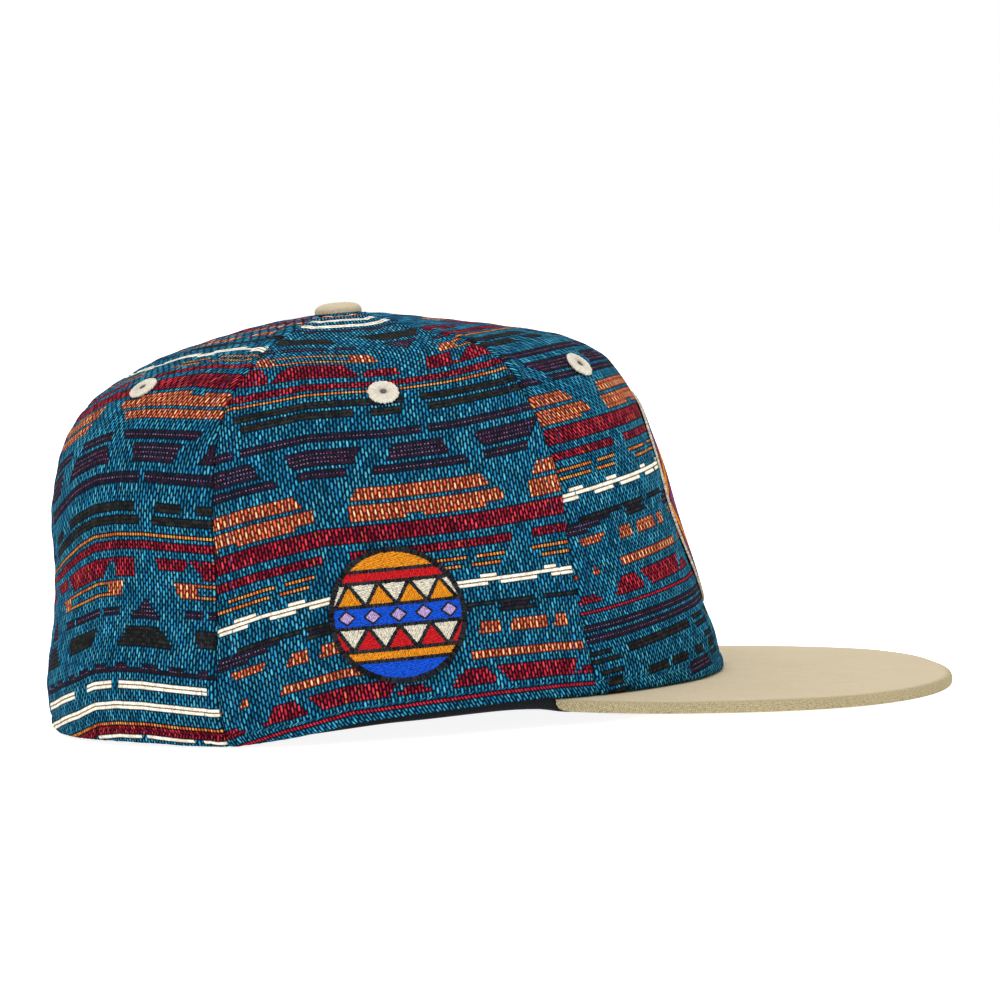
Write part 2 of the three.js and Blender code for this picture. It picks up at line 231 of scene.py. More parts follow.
# Shader maths: an expression on wires adds its Math nodes.
class Wire:
    def __init__(self, paint, socket):
        self.paint, self.socket = paint, socket

    def __add__(self, other):
        return self.paint.maths("ADD", self, other)

    def __sub__(self, other):
        return self.paint.maths("SUBTRACT", self, other)

    def __rsub__(self, other):
        return self.paint.maths("SUBTRACT", other, self)

    def __mul__(self, other):
        return self.paint.maths("MULTIPLY", self, other)

    def __truediv__(self, other):
        return self.paint.maths("DIVIDE", self, other)

    def __mod__(self, other):
        return self.paint.maths("FLOORED_MODULO", self, other)

    def __pow__(self, other):
        return self.paint.maths("POWER", self, other)

    def __abs__(self):
        return self.paint.maths("ABSOLUTE", self)

    def __lt__(self, other):
        return self.paint.maths("LESS_THAN", self, other)

    def __gt__(self, other):
        return self.paint.maths("GREATER_THAN", self, other)

    __radd__ = __add__
    __rmul__ = __mul__

    def floor(self):
        return self.paint.maths("FLOOR", self)

    def part(self):
        return self.paint.maths("FRACT", self)

    def over(self, low, high):
        sockets = {"Value": self, "From Min": low, "From Max": high}
        return self.paint.node("ShaderNodeMapRange", {"interpolation_type": "SMOOTHSTEP"}, sockets)


class Paint:
    def __init__(self, tree):
        self.tree = tree

    def node(self, kind, settings, sockets, out=0):
        made = self.tree.nodes.new(kind)
        for setting, value in settings.items():
            setattr(made, setting, value)
        for socket, value in sockets.items():
            if isinstance(value, Wire):
                self.tree.links.new(value.socket, made.inputs[socket])
            else:
                made.inputs[socket].default_value = value
        return Wire(self, made.outputs[out])

    def maths(self, operation, a, b=0.0):
        return self.node("ShaderNodeMath", {"operation": operation}, {0: a, 1: b})

    def blend(self, share, a, b, way="MIX"):
        settings = {"data_type": "RGBA", "blend_type": way, "clamp_factor": True}
        return self.node("ShaderNodeMix", settings, {0: share, 6: a, 7: b}, 2)

    def lifted(self, colour, *lifts):
        # A colour made lighter or darker, by one lift for all channels or by one for each.
        lifts = lifts if len(lifts) == 3 else lifts * 3
        return self.blend(1.0, colour, self.joined(*lifts), "MULTIPLY")

    def attribute(self, name, out="Fac"):
        return self.node("ShaderNodeAttribute", {"attribute_name": name}, {}, out)

    def onCloth(self, name):
        # The place on one of the piece's own maps, in mm.
        x, y, z = self.split(self.node("ShaderNodeUVMap", {"uv_map": name}, {}))
        return x * 1000, y * 1000

    def split(self, vector):
        parts = self.tree.nodes.new("ShaderNodeSeparateXYZ")
        self.tree.links.new(vector.socket, parts.inputs[0])
        return [Wire(self, out) for out in parts.outputs]

    def joined(self, x, y, z=0.0):
        return self.node("ShaderNodeCombineXYZ", {}, {0: x, 1: y, 2: z})

    def noise(self, place, scale, detail=2.0, rough=0.5):
        sockets = {"Vector": place, "Scale": scale, "Detail": detail, "Roughness": rough}
        return self.node("ShaderNodeTexNoise", {"noise_dimensions": "3D"}, sockets)

    def drawn(self, column, row):
        # Three draws from 0 to 1 for every cell of a lattice.
        cell = {"Vector": self.joined(column.floor(), row.floor())}
        return self.split(self.node("ShaderNodeTexWhiteNoise", {"noise_dimensions": "2D"}, cell, 1))

    def link(self, wire, node, socket):
        self.tree.links.new(wire.socket, self.tree.nodes[node].inputs[socket])


def newMaterial(name, rough=0.9, sheen=0.0, specular=0.04):
    # A low specular level keeps the cloth's colours deep under the white surround.
    material = bpy.data.materials.new(name)
    material.use_nodes = True
    shader = material.node_tree.nodes["Principled BSDF"]
    uniform = {"Roughness": rough, "Sheen Weight": sheen, "Sheen Roughness": 0.5,
               "Specular IOR Level": specular}
    for socket, value in uniform.items():
        shader.inputs[socket].default_value = value
    return material, Paint(material.node_tree)


def finish(p, colour, rough, height, depth, strength):
    bump = p.node("ShaderNodeBump", {}, {"Strength": strength, "Distance": depth, "Height": height})
    for wire, socket in ((colour, "Base Color"), (rough, "Roughness"), (bump, "Normal")):
        p.link(wire, "Principled BSDF", socket)


def shade(red, green, blue):
    linear = [((v / 255 + 0.055) / 1.055) ** 2.4 if v > 10 else v / 255 / 12.92 for v in (red, green, blue)]
    return (*linear, 1.0)


# The jacquard's own lattice: warp columns, yarn rows, and dashes two rows long in a brick bond.
# Lengths are in mm, and the shapes of the dashes, beads and dots in shares of their cell.
weave = {
    "column": 0.97,
    "row": 1.16,
    "repeat": 54,
    "sway": 0.5,
    "sag": 0.4,
    "hemSlip": 0.45,
    "hemFade": (3.6, 4.4),  # from the rim
    "lean": 0.34,
    "dashWidth": (0.19, 0.11),  # the least, and how much more by chance
    "dashLength": (0.325, 0.1),
    "bead": (0.34, 0.36),
    "dotWidth": 0.27,
    "dotHeight": (0.13, 0.08),
    "base": 0.42,
    "luck": 0.62,
    "fibre": 0.57,
    "twist": 0.5,
    "wide": 0.3,
    "speck": 1.8,
    "rowLift": 0.35,
    "back": shade(24, 38, 58),
    "backFade": 0.6,
    "bump": 0.00022,
}
# Kind 0 is woven in dashes, kind 1 in smooth rows with dots of the warp between them, kind 2 in beads.
yarns = {
    "blue": {"kind": 0, "shades": ((44, 146, 188), (70, 168, 198), (28, 118, 160)), "ground": (4, 30, 46)},
    "red": {"kind": 0, "shades": ((192, 40, 58), (146, 28, 48), (210, 62, 74)), "ground": (38, 8, 20)},
    "orange": {"kind": 0, "shades": ((248, 184, 122), (228, 104, 68), (252, 202, 146)),
               "ground": (88, 26, 22)},
    "maroon": {"kind": 1, "shades": ((24, 22, 34), (34, 25, 40), (17, 21, 32)), "ground": (3, 7, 16),
               "dots": (138, 108, 142), "dotAmount": 0.85},
    "black": {"kind": 1, "shades": ((27, 29, 31), (38, 38, 37), (21, 23, 26)), "ground": (6, 8, 12),
              "dots": (84, 80, 60), "dotAmount": 0.32},
    "cream": {"kind": 1, "shades": ((232, 224, 206), (242, 236, 220), (222, 212, 192)),
              "ground": (60, 50, 40), "dots": (132, 104, 54), "dotAmount": 0.9},
    "redLine": {"kind": 2, "shades": ((186, 32, 56), (164, 26, 48), (204, 50, 66)), "ground": (30, 10, 24)},
    "orangeLine": {"kind": 2, "shades": ((226, 136, 60), (206, 96, 46), (230, 160, 84)),
                   "ground": (24, 14, 18)},
}
strayYarn = shade(206, 88, 58)  # a few dashes of it lie in the red

# Bands from below, in mm up the cloth: low edge, high edge, yarn, then blocks as (foot, head) along
# the cloth, each repeated by the weave's repeat. A band with no blocks runs all the way.
chart = (
    (-30, -28, "black", ((6, 30), (6, 30))),
    (-22, -19, "maroon", ((29.5, 46.5), (31, 45))),
    (-20, -18, "black", ((48, 56), (48, 56))),
    (-17.4, -15.1, "black", ((10.5, 20.5), (10.5, 20.5)), ((22, 31.5), (22, 31.5)), ((36, 42), (36, 42)),
     ((48, 54), (48, 54))),
    (-14, -12.8, "black", ((-8, 1), (-8, 1))),
    (-9.3, -7, "black", ((4.5, 37.5), (4.5, 37.5))),
    (-10.4, -9.3, "black", ((42, 54.5), (42, 54.5))),
    (-8.1, -7, "black", ((42, 52), (42, 52))),
    (-4.7, -2.3, "maroon"),
    (-1.2, 1.2, "maroon"),
    (4.6, 5.8, "redLine"),
    (8.1, 12.8, "red", ((8, 22), (13, 19)), ((26, 45), (22, 48))),
    (8.1, 10.5, "red", ((-8, 4), (-4, 0))),
    (15.1, 17.4, "orange", ((15, 51), (16, 50)), ((2, 6), (4, 5))),
    (22.1, 25.5, "orange", ((18, 25), (20, 25)), ((28, 40), (29, 40)), ((42, 47), (43, 46))),
    (23.2, 25.5, "orange", ((3, 10.5), (1, 13))),
    (26.7, 28, "maroon", ((-3, 7), (-3, 7))),
    (28, 29.1, "maroon", ((-3, 13), (-3, 13))),
    (29.1, 30.2, "maroon", ((-1, 17), (-1, 17))),
    (27.9, 29, "black", ((25, 37), (25, 37))),
    (29, 30.2, "maroon", ((26, 35), (26, 35))),
    (30.2, 31.3, "black", ((25, 37), (25, 37)), ((5, 24), (5, 24)), ((40, 52), (40, 52))),
    (35.9, 37.1, "cream", ((15, 23), (15, 23)), ((27, 39), (27, 39)), ((44, 52), (44, 52)), ((0, 8), (0, 8))),
    (37.1, 38.3, "cream"),
    (38.3, 39.4, "cream", ((21, 26), (21, 26)), ((42, 46), (42, 46)), ((5, 11), (5, 11))),
    (41.8, 43, "orangeLine", ((-1, 16.5), (-1, 16.5)), ((19, 28), (19, 28)), ((42, 52), (42, 52))),
    (44.1, 45.3, "orangeLine", ((3.5, 18), (3.5, 18)), ((21, 30), (21, 30)), ((39, 52), (39, 52))),
    (47, 49.4, "red", ((-14, 33), (-14, 33))),
    (52.2, 56.9, "red"),
    (58, 59.1, "orange", ((-12, 3.5), (-12, 3.5)), ((9, 26.7), (9, 26.7))),
    (59.2, 62.7, "orange", ((-12, 33), (-12, 32))),
    (63.8, 67.3, "orange", ((-11, 30), (-8, 27))),
    (70.8, 73.1, "maroon", ((-24.5, -10.5), (-24.5, -10.5)), ((-4.5, 24.5), (-3, 23))),
    (74.3, 78.9, "maroon", ((-25, -8.5), (-27.6, -5.6)), ((1, 19), (3, 17))),
    (81.2, 83.5, "maroon", ((14, 66), (14, 66))),
    (88.2, 90.5, "black", ((15, 47), (15, 47)), ((-2, 7), (-2, 7))),
    (91.7, 94, "black", ((13, 51), (13, 51)), ((-8, 8), (-8, 8))),
    (96.3, 97.5, "orangeLine"),
    (98.7, 101, "red"),
    (103.2, 109.1, "red", ((-30, -3), (-24, -8)), ((15, 24), (15.5, 23))),
    (103.2, 106.8, "red", ((-3, 8), (-2, 6))),
    (110.2, 111.4, "orangeLine", ((-34, 2), (-34, 2))),
    (113.7, 114.9, "orangeLine", ((-32, 0), (-32, 0))),
    (110.2, 114.9, "orange", ((-34, -27), (-32, -27.5)), ((-6, 2), (-5, 0))),
    (116, 122, "maroon", ((11, 12), (6, 18))),
    (118.5, 120.8, "maroon", ((22.6, 29.5), (22.6, 29.5)), ((31.5, 44.7), (31.5, 44.7)),
     ((45.8, 52.5), (45.8, 52.5))),
    (124.6, 130, "black", ((6.5, 19), (1.5, 22.5))),
    (123.8, 129, "black", ((-22, -5), (-20, -7))),
    (134.5, 135.7, "maroon", ((-11, -7.8), (-11, -7.8)), ((-2.7, 2.4), (-2.7, 2.4)), ((6.3, 12), (6.3, 12)),
     ((17, 22), (17, 22)), ((26, 31), (26, 31)), ((35, 40), (35, 40))),
    (135.7, 136.9, "maroon"),
    (139.2, 141.6, "cream", ((-11, 20), (-11, 20)), ((23, 35), (23, 35))),
    (145, 147.4, "cream"),
    (150.6, 151.7, "orangeLine"),
    (151.7, 154.2, "red"),
    (154.2, 155.4, "cream", ((-4, 12), (-4, 12)), ((14, 32), (14, 32)), ((36, 47), (36, 47))),
)
yarnNames = list(yarns)


def chartCells(columns, rows):
    # The yarn of every cell of the cloth, by its column and yarn row.
    cells = np.zeros((len(rows), len(columns)), int)
    across = (columns + 0.5) * weave["column"]
    for low, high, yarn, *blocks in chart:
        for j, row in enumerate(rows):
            middle = (row + 0.5) * weave["row"]
            if not low <= middle < high:
                continue
            share = (middle - low) / (high - low)
            for foot, head in blocks or [((0, weave["repeat"]), (0, weave["repeat"]))]:
                start = foot[0] + (head[0] - foot[0]) * share
                end = foot[1] + (head[1] - foot[1]) * share
                inside = (across - start) % weave["repeat"] < end - start
                cells[j, inside] = yarnNames.index(yarn)
    return cells


def jacquardMaterial(name, faded):
    material, p = newMaterial(name)
    x, y = p.onCloth("cloth")
    sway = p.noise(p.joined(x, y, 3.1), 0.16) - 0.5
    sag = p.noise(p.joined(x, y, 9.4), 0.2) - 0.5
    kind, fromRim = p.attribute("kind"), p.attribute("hem")
    isDash, isBead = kind < 0.5, kind > 1.5
    isRow = (kind > 0.5) * (kind < 1.5)
    inHem = 1 - fromRim.over(*weave["hemFade"])
    column = (x + inHem * fromRim * weave["hemSlip"] + sway * weave["sway"]) / weave["column"]
    wefts = (y + sag * weave["sag"]) / weave["row"]
    dashes = wefts / 2 + (column.floor() % 2) * 0.5
    luck, luckier, luckiest = p.drawn(column, dashes)
    across, dash, row = column.part() - 0.5, dashes.part() - 0.5, (y / weave["row"]).part() - 0.5

    # Dashes are slim spindles, each of its own width, length and lean. A band's edge cuts them off.
    width = weave["dashWidth"][0] + luck * weave["dashWidth"][1]
    length = weave["dashLength"][0] + luckiest * weave["dashLength"][1]
    leaned = across + dash * (luckier - 0.5) * weave["lean"] + (luckiest - 0.5) * 0.12
    dashMask = 1 - ((abs(leaned) / width) ** 2.2 + (abs(dash) / length) ** 2.4).over(0.2, 1.9)
    cutAbove = p.attribute("yarn", "Alpha") * row.over(0.2, 0.5)
    cutBelow = p.attribute("ground", "Alpha") * (row * -1.0).over(0.2, 0.5)
    cut = 1 - cutAbove - cutBelow
    bead = (abs(across) / weave["bead"][0]) ** 2.5 + (abs(row) / weave["bead"][1]) ** 3
    beadMask = 1 - bead.over(0.3, 1.5)
    rowMask = 1 - abs(row + sway * 0.3).over(0.3, 0.5)
    mask = dashMask * cut * isDash + rowMask * isRow + beadMask * isBead

    # Painted light and shade on the round crests of the yarns, with fibres, fine specks and a slow change of
    # tone over the panel.
    fibre = p.noise(p.joined(x * 3.2, y * 1.1), 2.2, 3.0, 0.65)
    fuzz = p.noise(p.joined(x, y), 4.5, 3.0, 0.7)
    speck = p.noise(p.joined(x * 1.05, y * 1.35), 1.9, 2.0, 0.7) - 0.5
    wide = p.noise(p.joined(x, y), 0.07) - 0.5
    crest = 1 - (abs(leaned) / 0.5) ** 2
    rowCrest = 1 - (abs(row) / 0.5) ** 2
    twist = (abs((x * 1.1 + y * 0.6).part() - 0.5) - 0.25) * isRow
    lift = weave["base"] + luck * isDash * weave["luck"] + fibre * weave["fibre"] + twist * weave["twist"]
    lift = lift + wide * weave["wide"] + (isRow + isBead) * weave["rowLift"]
    # Painted light and shade: dashes and beads are lit along their crests and darker at their sides, and rows
    # are shaded as round cords.
    lift = lift * (0.64 + crest * 0.44 * (1 - isRow) + isRow * (rowCrest * 0.75 - 0.1))
    face = p.lifted(p.attribute("yarn", "Color"), lift * (1 + speck * weave["speck"]))
    ground = p.lifted(p.attribute("ground", "Color"), 0.35 + fuzz * 1.5)
    colour = p.blend(mask, ground, face)

    # Small dots of the warp show between rows, one a column.
    dotLuck, dotHue, dotSize = p.drawn(column, wefts + 0.5)
    dotAcross = (across + (dotHue - 0.5) * 0.2) / weave["dotWidth"]
    dotUp = (0.5 - abs(row)) / (weave["dotHeight"][0] + dotSize * weave["dotHeight"][1])
    dotMask = 1 - (abs(dotAcross) ** 2 + dotUp ** 2).over(0.5, 1.4)
    dotMask = dotMask * cut * p.attribute("dots", "Alpha") * isRow
    dotLift = 0.25 + dotLuck * 1.25
    redder = p.noise(p.joined(x, y, 6.2), 0.09, 1.0).over(0.5, 0.68) * 0.6
    dotLifts = (dotLift * (0.75 + dotHue * 0.5), dotLift * (1.15 - dotHue * 0.3 - redder),
                dotLift * (1.0 - redder * 0.8))
    colour = p.blend(dotMask, colour, p.lifted(p.attribute("dots", "Color"), *dotLifts))
    if faded:
        colour = p.blend(weave["backFade"], colour, weave["back"])
    height = mask * (crest * (1 - isRow) + rowCrest * isRow) + dotMask * 0.4 + fibre * 0.2
    finish(p, colour, 0.95 - mask * 0.1 + fibre * 0.05, height, weave["bump"], 0.8)
    return material


canvas = {
    "tone": shade(207, 192, 163),
    "thread": 0.5,  # mm
    "lift": 0.905,
    "weave": 0.2,
    "slubs": (0.36, 0.16),
    "fine": 0.26,
    "edgeFine": 0.55,
    "edgeRibs": 0.3,
    "paintedEdgeShade": 0.42,
    "bump": 0.00012,
}


def canvasMaterial(name):
    # "edge" is 1 where the canvas is pulled over an edge and shows its weave more; there it is also painted
    # darker and less blue, as painted shade on the edge.
    material, p = newMaterial(name)
    x, y = p.onCloth("cloth")
    x, y = x / canvas["thread"], y / canvas["thread"]
    edge = p.attribute("edge")
    wander = p.noise(p.joined(x, y, 5.0), 0.12) - 0.5
    over = (((x + wander).floor() + (y + wander).floor()) % 2) > 0.5
    warp, weft = (1 - (abs((v + wander).part() - 0.5) / 0.5) ** 2 for v in (x, y))
    top = warp * over + weft * (1 - over)
    slubs = p.noise(p.joined(x * 0.045, y * 0.8), 1.0, 3.0, 0.6)
    slubsAcross = p.noise(p.joined(x * 0.8, y * 0.045), 1.0, 3.0, 0.6)
    fine = p.noise(p.joined(x, y), 0.9, 3.0, 0.7)
    wide = p.noise(p.joined(x, y), 0.02, 3.0)
    ribs = abs(((x + y + wander * 2.5) * 0.95).part() - 0.5) - 0.25
    streaks = (slubs - 0.5) * canvas["slubs"][0] + (slubsAcross - 0.5) * canvas["slubs"][1]
    # Painted shade in the weave: the thread on top is lighter along its crest and darker where it dips under.
    grain = top * canvas["weave"] + streaks * (1 - edge) + (wide - 0.5) * 0.1
    grain = grain + (fine - 0.5) * (canvas["fine"] + edge * canvas["edgeFine"])
    grain = grain + ribs * edge * canvas["edgeRibs"]
    # Painted shade on the visor's edge: the canvas is made darker there, with less blue.
    lift = canvas["lift"] + grain * (0.9 + edge * 0.9) - edge * canvas["paintedEdgeShade"]
    colour = p.lifted(canvas["tone"], lift, lift * (1 - edge * 0.01), lift * (1 - edge * 0.16))
    finish(p, colour, 0.95 - top * 0.05, top + fine * 0.4 + slubs * 0.5, canvas["bump"], 0.6)
    return material


twill = {"tone": shade(24, 26, 30), "rib": 0.9, "slope": 1.7, "bump": 0.00015}


def twillMaterial(name):
    material, p = newMaterial(name, sheen=0.2)
    x, y = p.onCloth("cloth")
    rib = ((x + y * twill["slope"]) / twill["rib"]).part() - 0.5
    crest = 1 - (abs(rib) / 0.5) ** 2
    fibre = p.noise(p.joined(x * 2, y * 5), 1.0, 3.0, 0.6)
    # Painted shade: each rib is lighter along its crest and darker in the grooves between ribs.
    colour = p.lifted(twill["tone"], 0.5 + crest * 0.5 + fibre * 0.5)
    finish(p, colour, 0.9 - crest * 0.1, crest + fibre * 0.3, twill["bump"], 0.6)
    return material


# Satin stitches: threads of a width in mm, how deep they stand and how uneven their shade is.
satin = {
    "satinThread": {"rough": 0.6, "thread": 0.46, "bump": 0.0002, "uneven": 1.0},
    "eyeletThread": {"rough": 0.7, "thread": 0.36, "bump": 0.00008, "uneven": 0.3},
    "topstitchThread": {"rough": 0.55, "thread": 0.2, "bump": 0.00005, "uneven": 1.0},
}


def threadMaterial(name):
    # The "stitch" map runs along the threads in x and across them in y.
    style = satin[name]
    material, p = newMaterial(name, style["rough"])
    x, y = p.onCloth("stitch")
    wander = p.noise(p.joined(x * 0.35, y * 1.6), 1.0)
    crest = 1 - (abs(((y + wander * 0.4) / style["thread"]).part() - 0.5) / 0.5) ** 2
    fibre = p.noise(p.joined(x * 0.9, y * 2.6), 1.0, 3.0, 0.65)
    knots = p.noise(p.joined(x * 1.7, y * 2.2), 1.0)
    # Painted light and shade: each thread is lighter along its crest and darker at its sides; fibres and
    # knots vary its tone.
    lift = 0.55 + crest * 0.5 + ((fibre - 0.5) * 2.4 + (knots - 0.5) * 1.5) * style["uneven"]
    colour = p.lifted(p.attribute("thread", "Color"), lift)
    finish(p, colour, style["rough"] + 0.25 - crest * 0.2, crest + fibre * 0.35, style["bump"], 0.8)
    return material


materials = {
    "jacquard": jacquardMaterial("jacquardFace", False),
    "jacquardBack": jacquardMaterial("jacquardBack", True),
    "canvas": canvasMaterial("khakiCanvas"),
    "twill": twillMaterial("blackTwill"),
    "thread": threadMaterial("satinThread"),
    "eyelet": threadMaterial("eyeletThread"),
    "stitch": threadMaterial("topstitchThread"),
}
print("cap: materials ready")


def vertexPlaces(mesh):
    places = np.zeros(len(mesh.vertices) * 3)
    mesh.vertices.foreach_get("co", places)
    return places.reshape(-1, 3)


def faceVectors(mesh, name):
    vectors = np.zeros(len(mesh.polygons) * 3)
    mesh.polygons.foreach_get(name, vectors)
    return vectors.reshape(-1, 3)


def flatGrid(name, across, along):
    # A flat grid, read back as each vertex's shares (0 to 1) across and along it.
    bpy.ops.mesh.primitive_grid_add(x_subdivisions=across, y_subdivisions=along, size=2)
    grid = bpy.context.object
    grid.name = grid.data.name = name
    return grid, (vertexPlaces(grid.data)[:, :2] + 1) / 2


def setPlaces(piece, points):
    piece.data.vertices.foreach_set("co", placed(points).ravel())
    piece.data.update()


def cornerIndex(mesh):
    index = np.zeros(len(mesh.loops), int)
    mesh.loops.foreach_get("vertex_index", index)
    return index


def faceOfCorner(mesh):
    counts = np.zeros(len(mesh.polygons), int)
    mesh.polygons.foreach_get("loop_total", counts)
    return np.repeat(np.arange(len(counts)), counts)


def faceMiddles(mesh, *values):
    # The mean of each value of the vertices over every face.
    corners, faces = cornerIndex(mesh), faceOfCorner(mesh)
    values = np.stack(values, 1)
    total = np.zeros((len(mesh.polygons), values.shape[1]))
    np.add.at(total, faces, values[corners])
    middles = (total / np.bincount(faces)[:, None]).T
    return middles if len(middles) > 1 else middles[0]


def setColour(mesh, name, perFace):
    layer = mesh.attributes.new(name, "FLOAT_COLOR", "CORNER")
    layer.data.foreach_set("color", perFace[faceOfCorner(mesh)].astype(np.float32).ravel())


def setNumber(mesh, name, perVertex=None, perFace=None):
    layer = mesh.attributes.new(name, "FLOAT", "POINT" if perFace is None else "CORNER")
    values = perVertex if perFace is None else perFace[faceOfCorner(mesh)]
    layer.data.foreach_set("value", values.astype(np.float32))


def setMap(mesh, name, x, y, faceTurns=None):
    # Places of the vertices on a map, in mm. Each face may turn them by an angle of its own.
    corners = cornerIndex(mesh)
    x, y = x[corners], y[corners]
    if faceTurns is not None:
        turn = faceTurns[faceOfCorner(mesh)]
        x, y = x * np.cos(turn) + y * np.sin(turn), y * np.cos(turn) - x * np.sin(turn)
    for old in [old for old in mesh.uv_layers if old.name == "UVMap"]:
        mesh.uv_layers.remove(old)
    layer = mesh.uv_layers.new(name=name)
    layer.data.foreach_set("uv", (np.stack([x, y], 1) / 1000).astype(np.float32).ravel())


def only(piece):
    bpy.ops.object.select_all(action="DESELECT")
    piece.select_set(True)
    bpy.context.view_layer.objects.active = piece


def inEdit(piece, *steps):
    only(piece)
    bpy.ops.object.mode_set(mode="EDIT")
    bpy.ops.mesh.select_all(action="SELECT")
    for step in steps:
        step()
    bpy.ops.object.mode_set(mode="OBJECT")


def deleteFaces(piece, chosen):
    only(piece)
    bpy.ops.object.mode_set(mode="EDIT")
    bpy.ops.mesh.select_mode(type="FACE")
    bpy.ops.mesh.select_all(action="DESELECT")
    bpy.ops.object.mode_set(mode="OBJECT")
    piece.data.polygons.foreach_set("select", chosen)
    bpy.ops.object.mode_set(mode="EDIT")
    bpy.ops.mesh.delete(type="FACE")
    bpy.ops.object.mode_set(mode="OBJECT")


def weldUp(piece, distance=0.00002):
    inEdit(piece, lambda: bpy.ops.mesh.remove_doubles(threshold=distance),
           lambda: bpy.ops.mesh.dissolve_degenerate(threshold=distance))


def faceOut(piece):
    inEdit(piece, lambda: bpy.ops.mesh.normals_make_consistent(inside=False))


def closeUp(piece):
    weldUp(piece)
    inEdit(piece, lambda: bpy.ops.mesh.fill_holes(sides=0))
    faceOut(piece)


def faceFromMiddle(piece):
    # An open sheet has no inside, so its faces are turned away from the middle of the cap.
    away = faceVectors(piece.data, "center") - placed([0, 0, 40])
    if (faceVectors(piece.data, "normal") * away).sum() < 0:
        inEdit(piece, bpy.ops.mesh.flip_normals)


def applied(piece, kind, **settings):
    only(piece)
    modifier = piece.modifiers.new("shape", kind)
    for setting, value in settings.items():
        setattr(modifier, setting, value)
    bpy.ops.object.modifier_apply(modifier=modifier.name)


def handIn(piece, slot, *nodes, material=None, smooth=None):
    if material:
        piece.data.materials.clear()
        piece.data.materials.append(materials[material])
    only(piece)
    if smooth:
        bpy.ops.object.shade_smooth_by_angle(angle=math.radians(smooth))
    else:
        bpy.ops.object.shade_smooth()
    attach(piece, "root")
    if nodes:
        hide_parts(*nodes)


# Crown panels. "arc" is counted along a level ring from the panel's start angle towards the visor, in mm.
# Their bands droop, sag and skew as sewn cloth does. Each row of that kind follows a row of the places,
# along the arc or up the cloth, that its values belong to.
panels = {
    "front": {
        "section": 0, "start": 0.0, "reach": (-98, 1),
        "chartStart": 84.5, "chartTurn": 1, "chartUp": -24,
        "droopArc": (-95, -80, -65, -47, -27, 0),
        "droopLow": (-4, -3, -1.5, 0, 1.3, 1.3),
        "droopHigh": (-4, -3, -1.5, 0, 1.3, 1.3),
        "sagUp": (17, 28, 39, 51, 62, 73, 85, 96, 108),
        "sag": (0.2, 2.3, 1.4, 1.5, 0.9, 1.1, 0.9, 0.3, 0),
        "sagArc": (-90, 0), "sagShare": (1, 1),
        "topArc": (-60, 0), "topRise": (1, 1),
        "footArc": (-90, 0), "footRise": (0, 0),
        "skewUp": (70, 84, 100), "skew": (0, 3, 3),
        "crestRise": 0, "stretch": 0,
    },
    "side": {
        "section": 1, "start": -89.0, "reach": (-62, 60),
        "chartStart": 0, "chartTurn": 1, "chartUp": 0,
        "droopArc": (-60, -55, -40, -20, 0, 20, 40, 55, 60),
        "droopLow": (-10, -9, -5, -1, 0, 0.5, 0, -1, -1.4),
        "droopHigh": (-4.5, -4, -1.5, 1, 0, 1.5, 5, 7, 7.5),
        "sagUp": (17, 28, 39, 51, 62, 73, 85, 96, 108, 120),
        "sag": (0, 0.4, 1.1, 1.5, 1.7, 1.5, 1.4, 1.2, 0.5, 0.2),
        "sagArc": (-50, 0, 25, 38, 52), "sagShare": (0.85, 1, 1.4, 1.4, 1.1),
        "topArc": (-35, -20, -5, 8, 20, 32), "topRise": (3, 1.2, -0.6, -1.2, 0.3, 2.2),
        "footArc": (-50, 50), "footRise": (0, 0),
        "skewUp": (0, 100), "skew": (0, 0),
        "crestRise": 2.5, "stretch": 0,
    },
    "back": {
        "section": 2, "start": -150.0, "reach": (-52, 54),
        "chartStart": 31.5, "chartTurn": -1, "chartUp": 155,
        "droopArc": (-47, -40, -30, -20, -10, 0, 10, 20, 43, 55),
        "droopLow": (-13, -12, -10, -6.5, -2.8, 0, 0.8, 0.5, -2, -3),
        "droopHigh": (-13, -12, -10, -6.5, -2.8, 0, 0.8, 0.5, -2, -3),
        "sagUp": (17, 28, 39, 51, 62, 73, 85, 96, 108),
        "sag": (0.4, 0, 0.8, 1.6, 1.4, 0.2, 0.5, 1, 0.5),
        "sagArc": (-50, 50), "sagShare": (1, 1),
        "topArc": (-17, -8, 0, 8, 17), "topRise": (-1.8, -1.4, 0, 1.6, 3.2),
        "footArc": (-50, -40, -30, -20, -10), "footRise": (3, 3.4, 3, 1.6, 0),
        "skewUp": (0, 100), "skew": (0, 0),
        "crestRise": 0, "stretch": 5, "stretchFrom": 70, "stretchTo": 92,
    },
}
leftShift = {"front": (0, 0), "side": (21, 26), "back": (-17, -14)}  # how far the left bands are moved
cloth = {
    "hem": 4.2,
    "hemBulge": 0.45,
    "hemStitch": 0.32,
    "turnIn": 0.9,
    "turnDepth": 0.8,
    "seamGap": 0.06,
    "seamRoll": 0.5,
    "seamWidth": 0.6,
    "ridge": 0.22,  # the seam allowance shows as a low ridge beside the seam
    "ridgeAt": 2.4,
    "ridgeWidth": 1.5,
    "topstitch": 4.7,
    "stitchDent": 0.26,
    "stitchLength": 2.1,
    "stitchPitch": 3.3,
    "pucker": 0.12,
    "puckerPitch": 7.5,
    "puckerReach": 7,
    "ripple": 0.06,
    "droopLowUp": 20,
    "droopHighUp": 100,
    "topMargin": 0.3,
    "chartMargin": 16,
    "lowest": -8,
}
eyeletPlaces = {"front": (36, 98), "side": (87.5, 94.5), "back": (148, 104.5)}
eyelet = {
    "radius": 4.45,
    "bore": 0.75,
    "height": 0.9,
    "seat": 0.25,
    "hole": 1.9,
    "threads": 92,
    "rings": 14,
    "underRings": 4,
    "tones": ((240, 232, 214), (244, 237, 221), (234, 225, 205)),
}


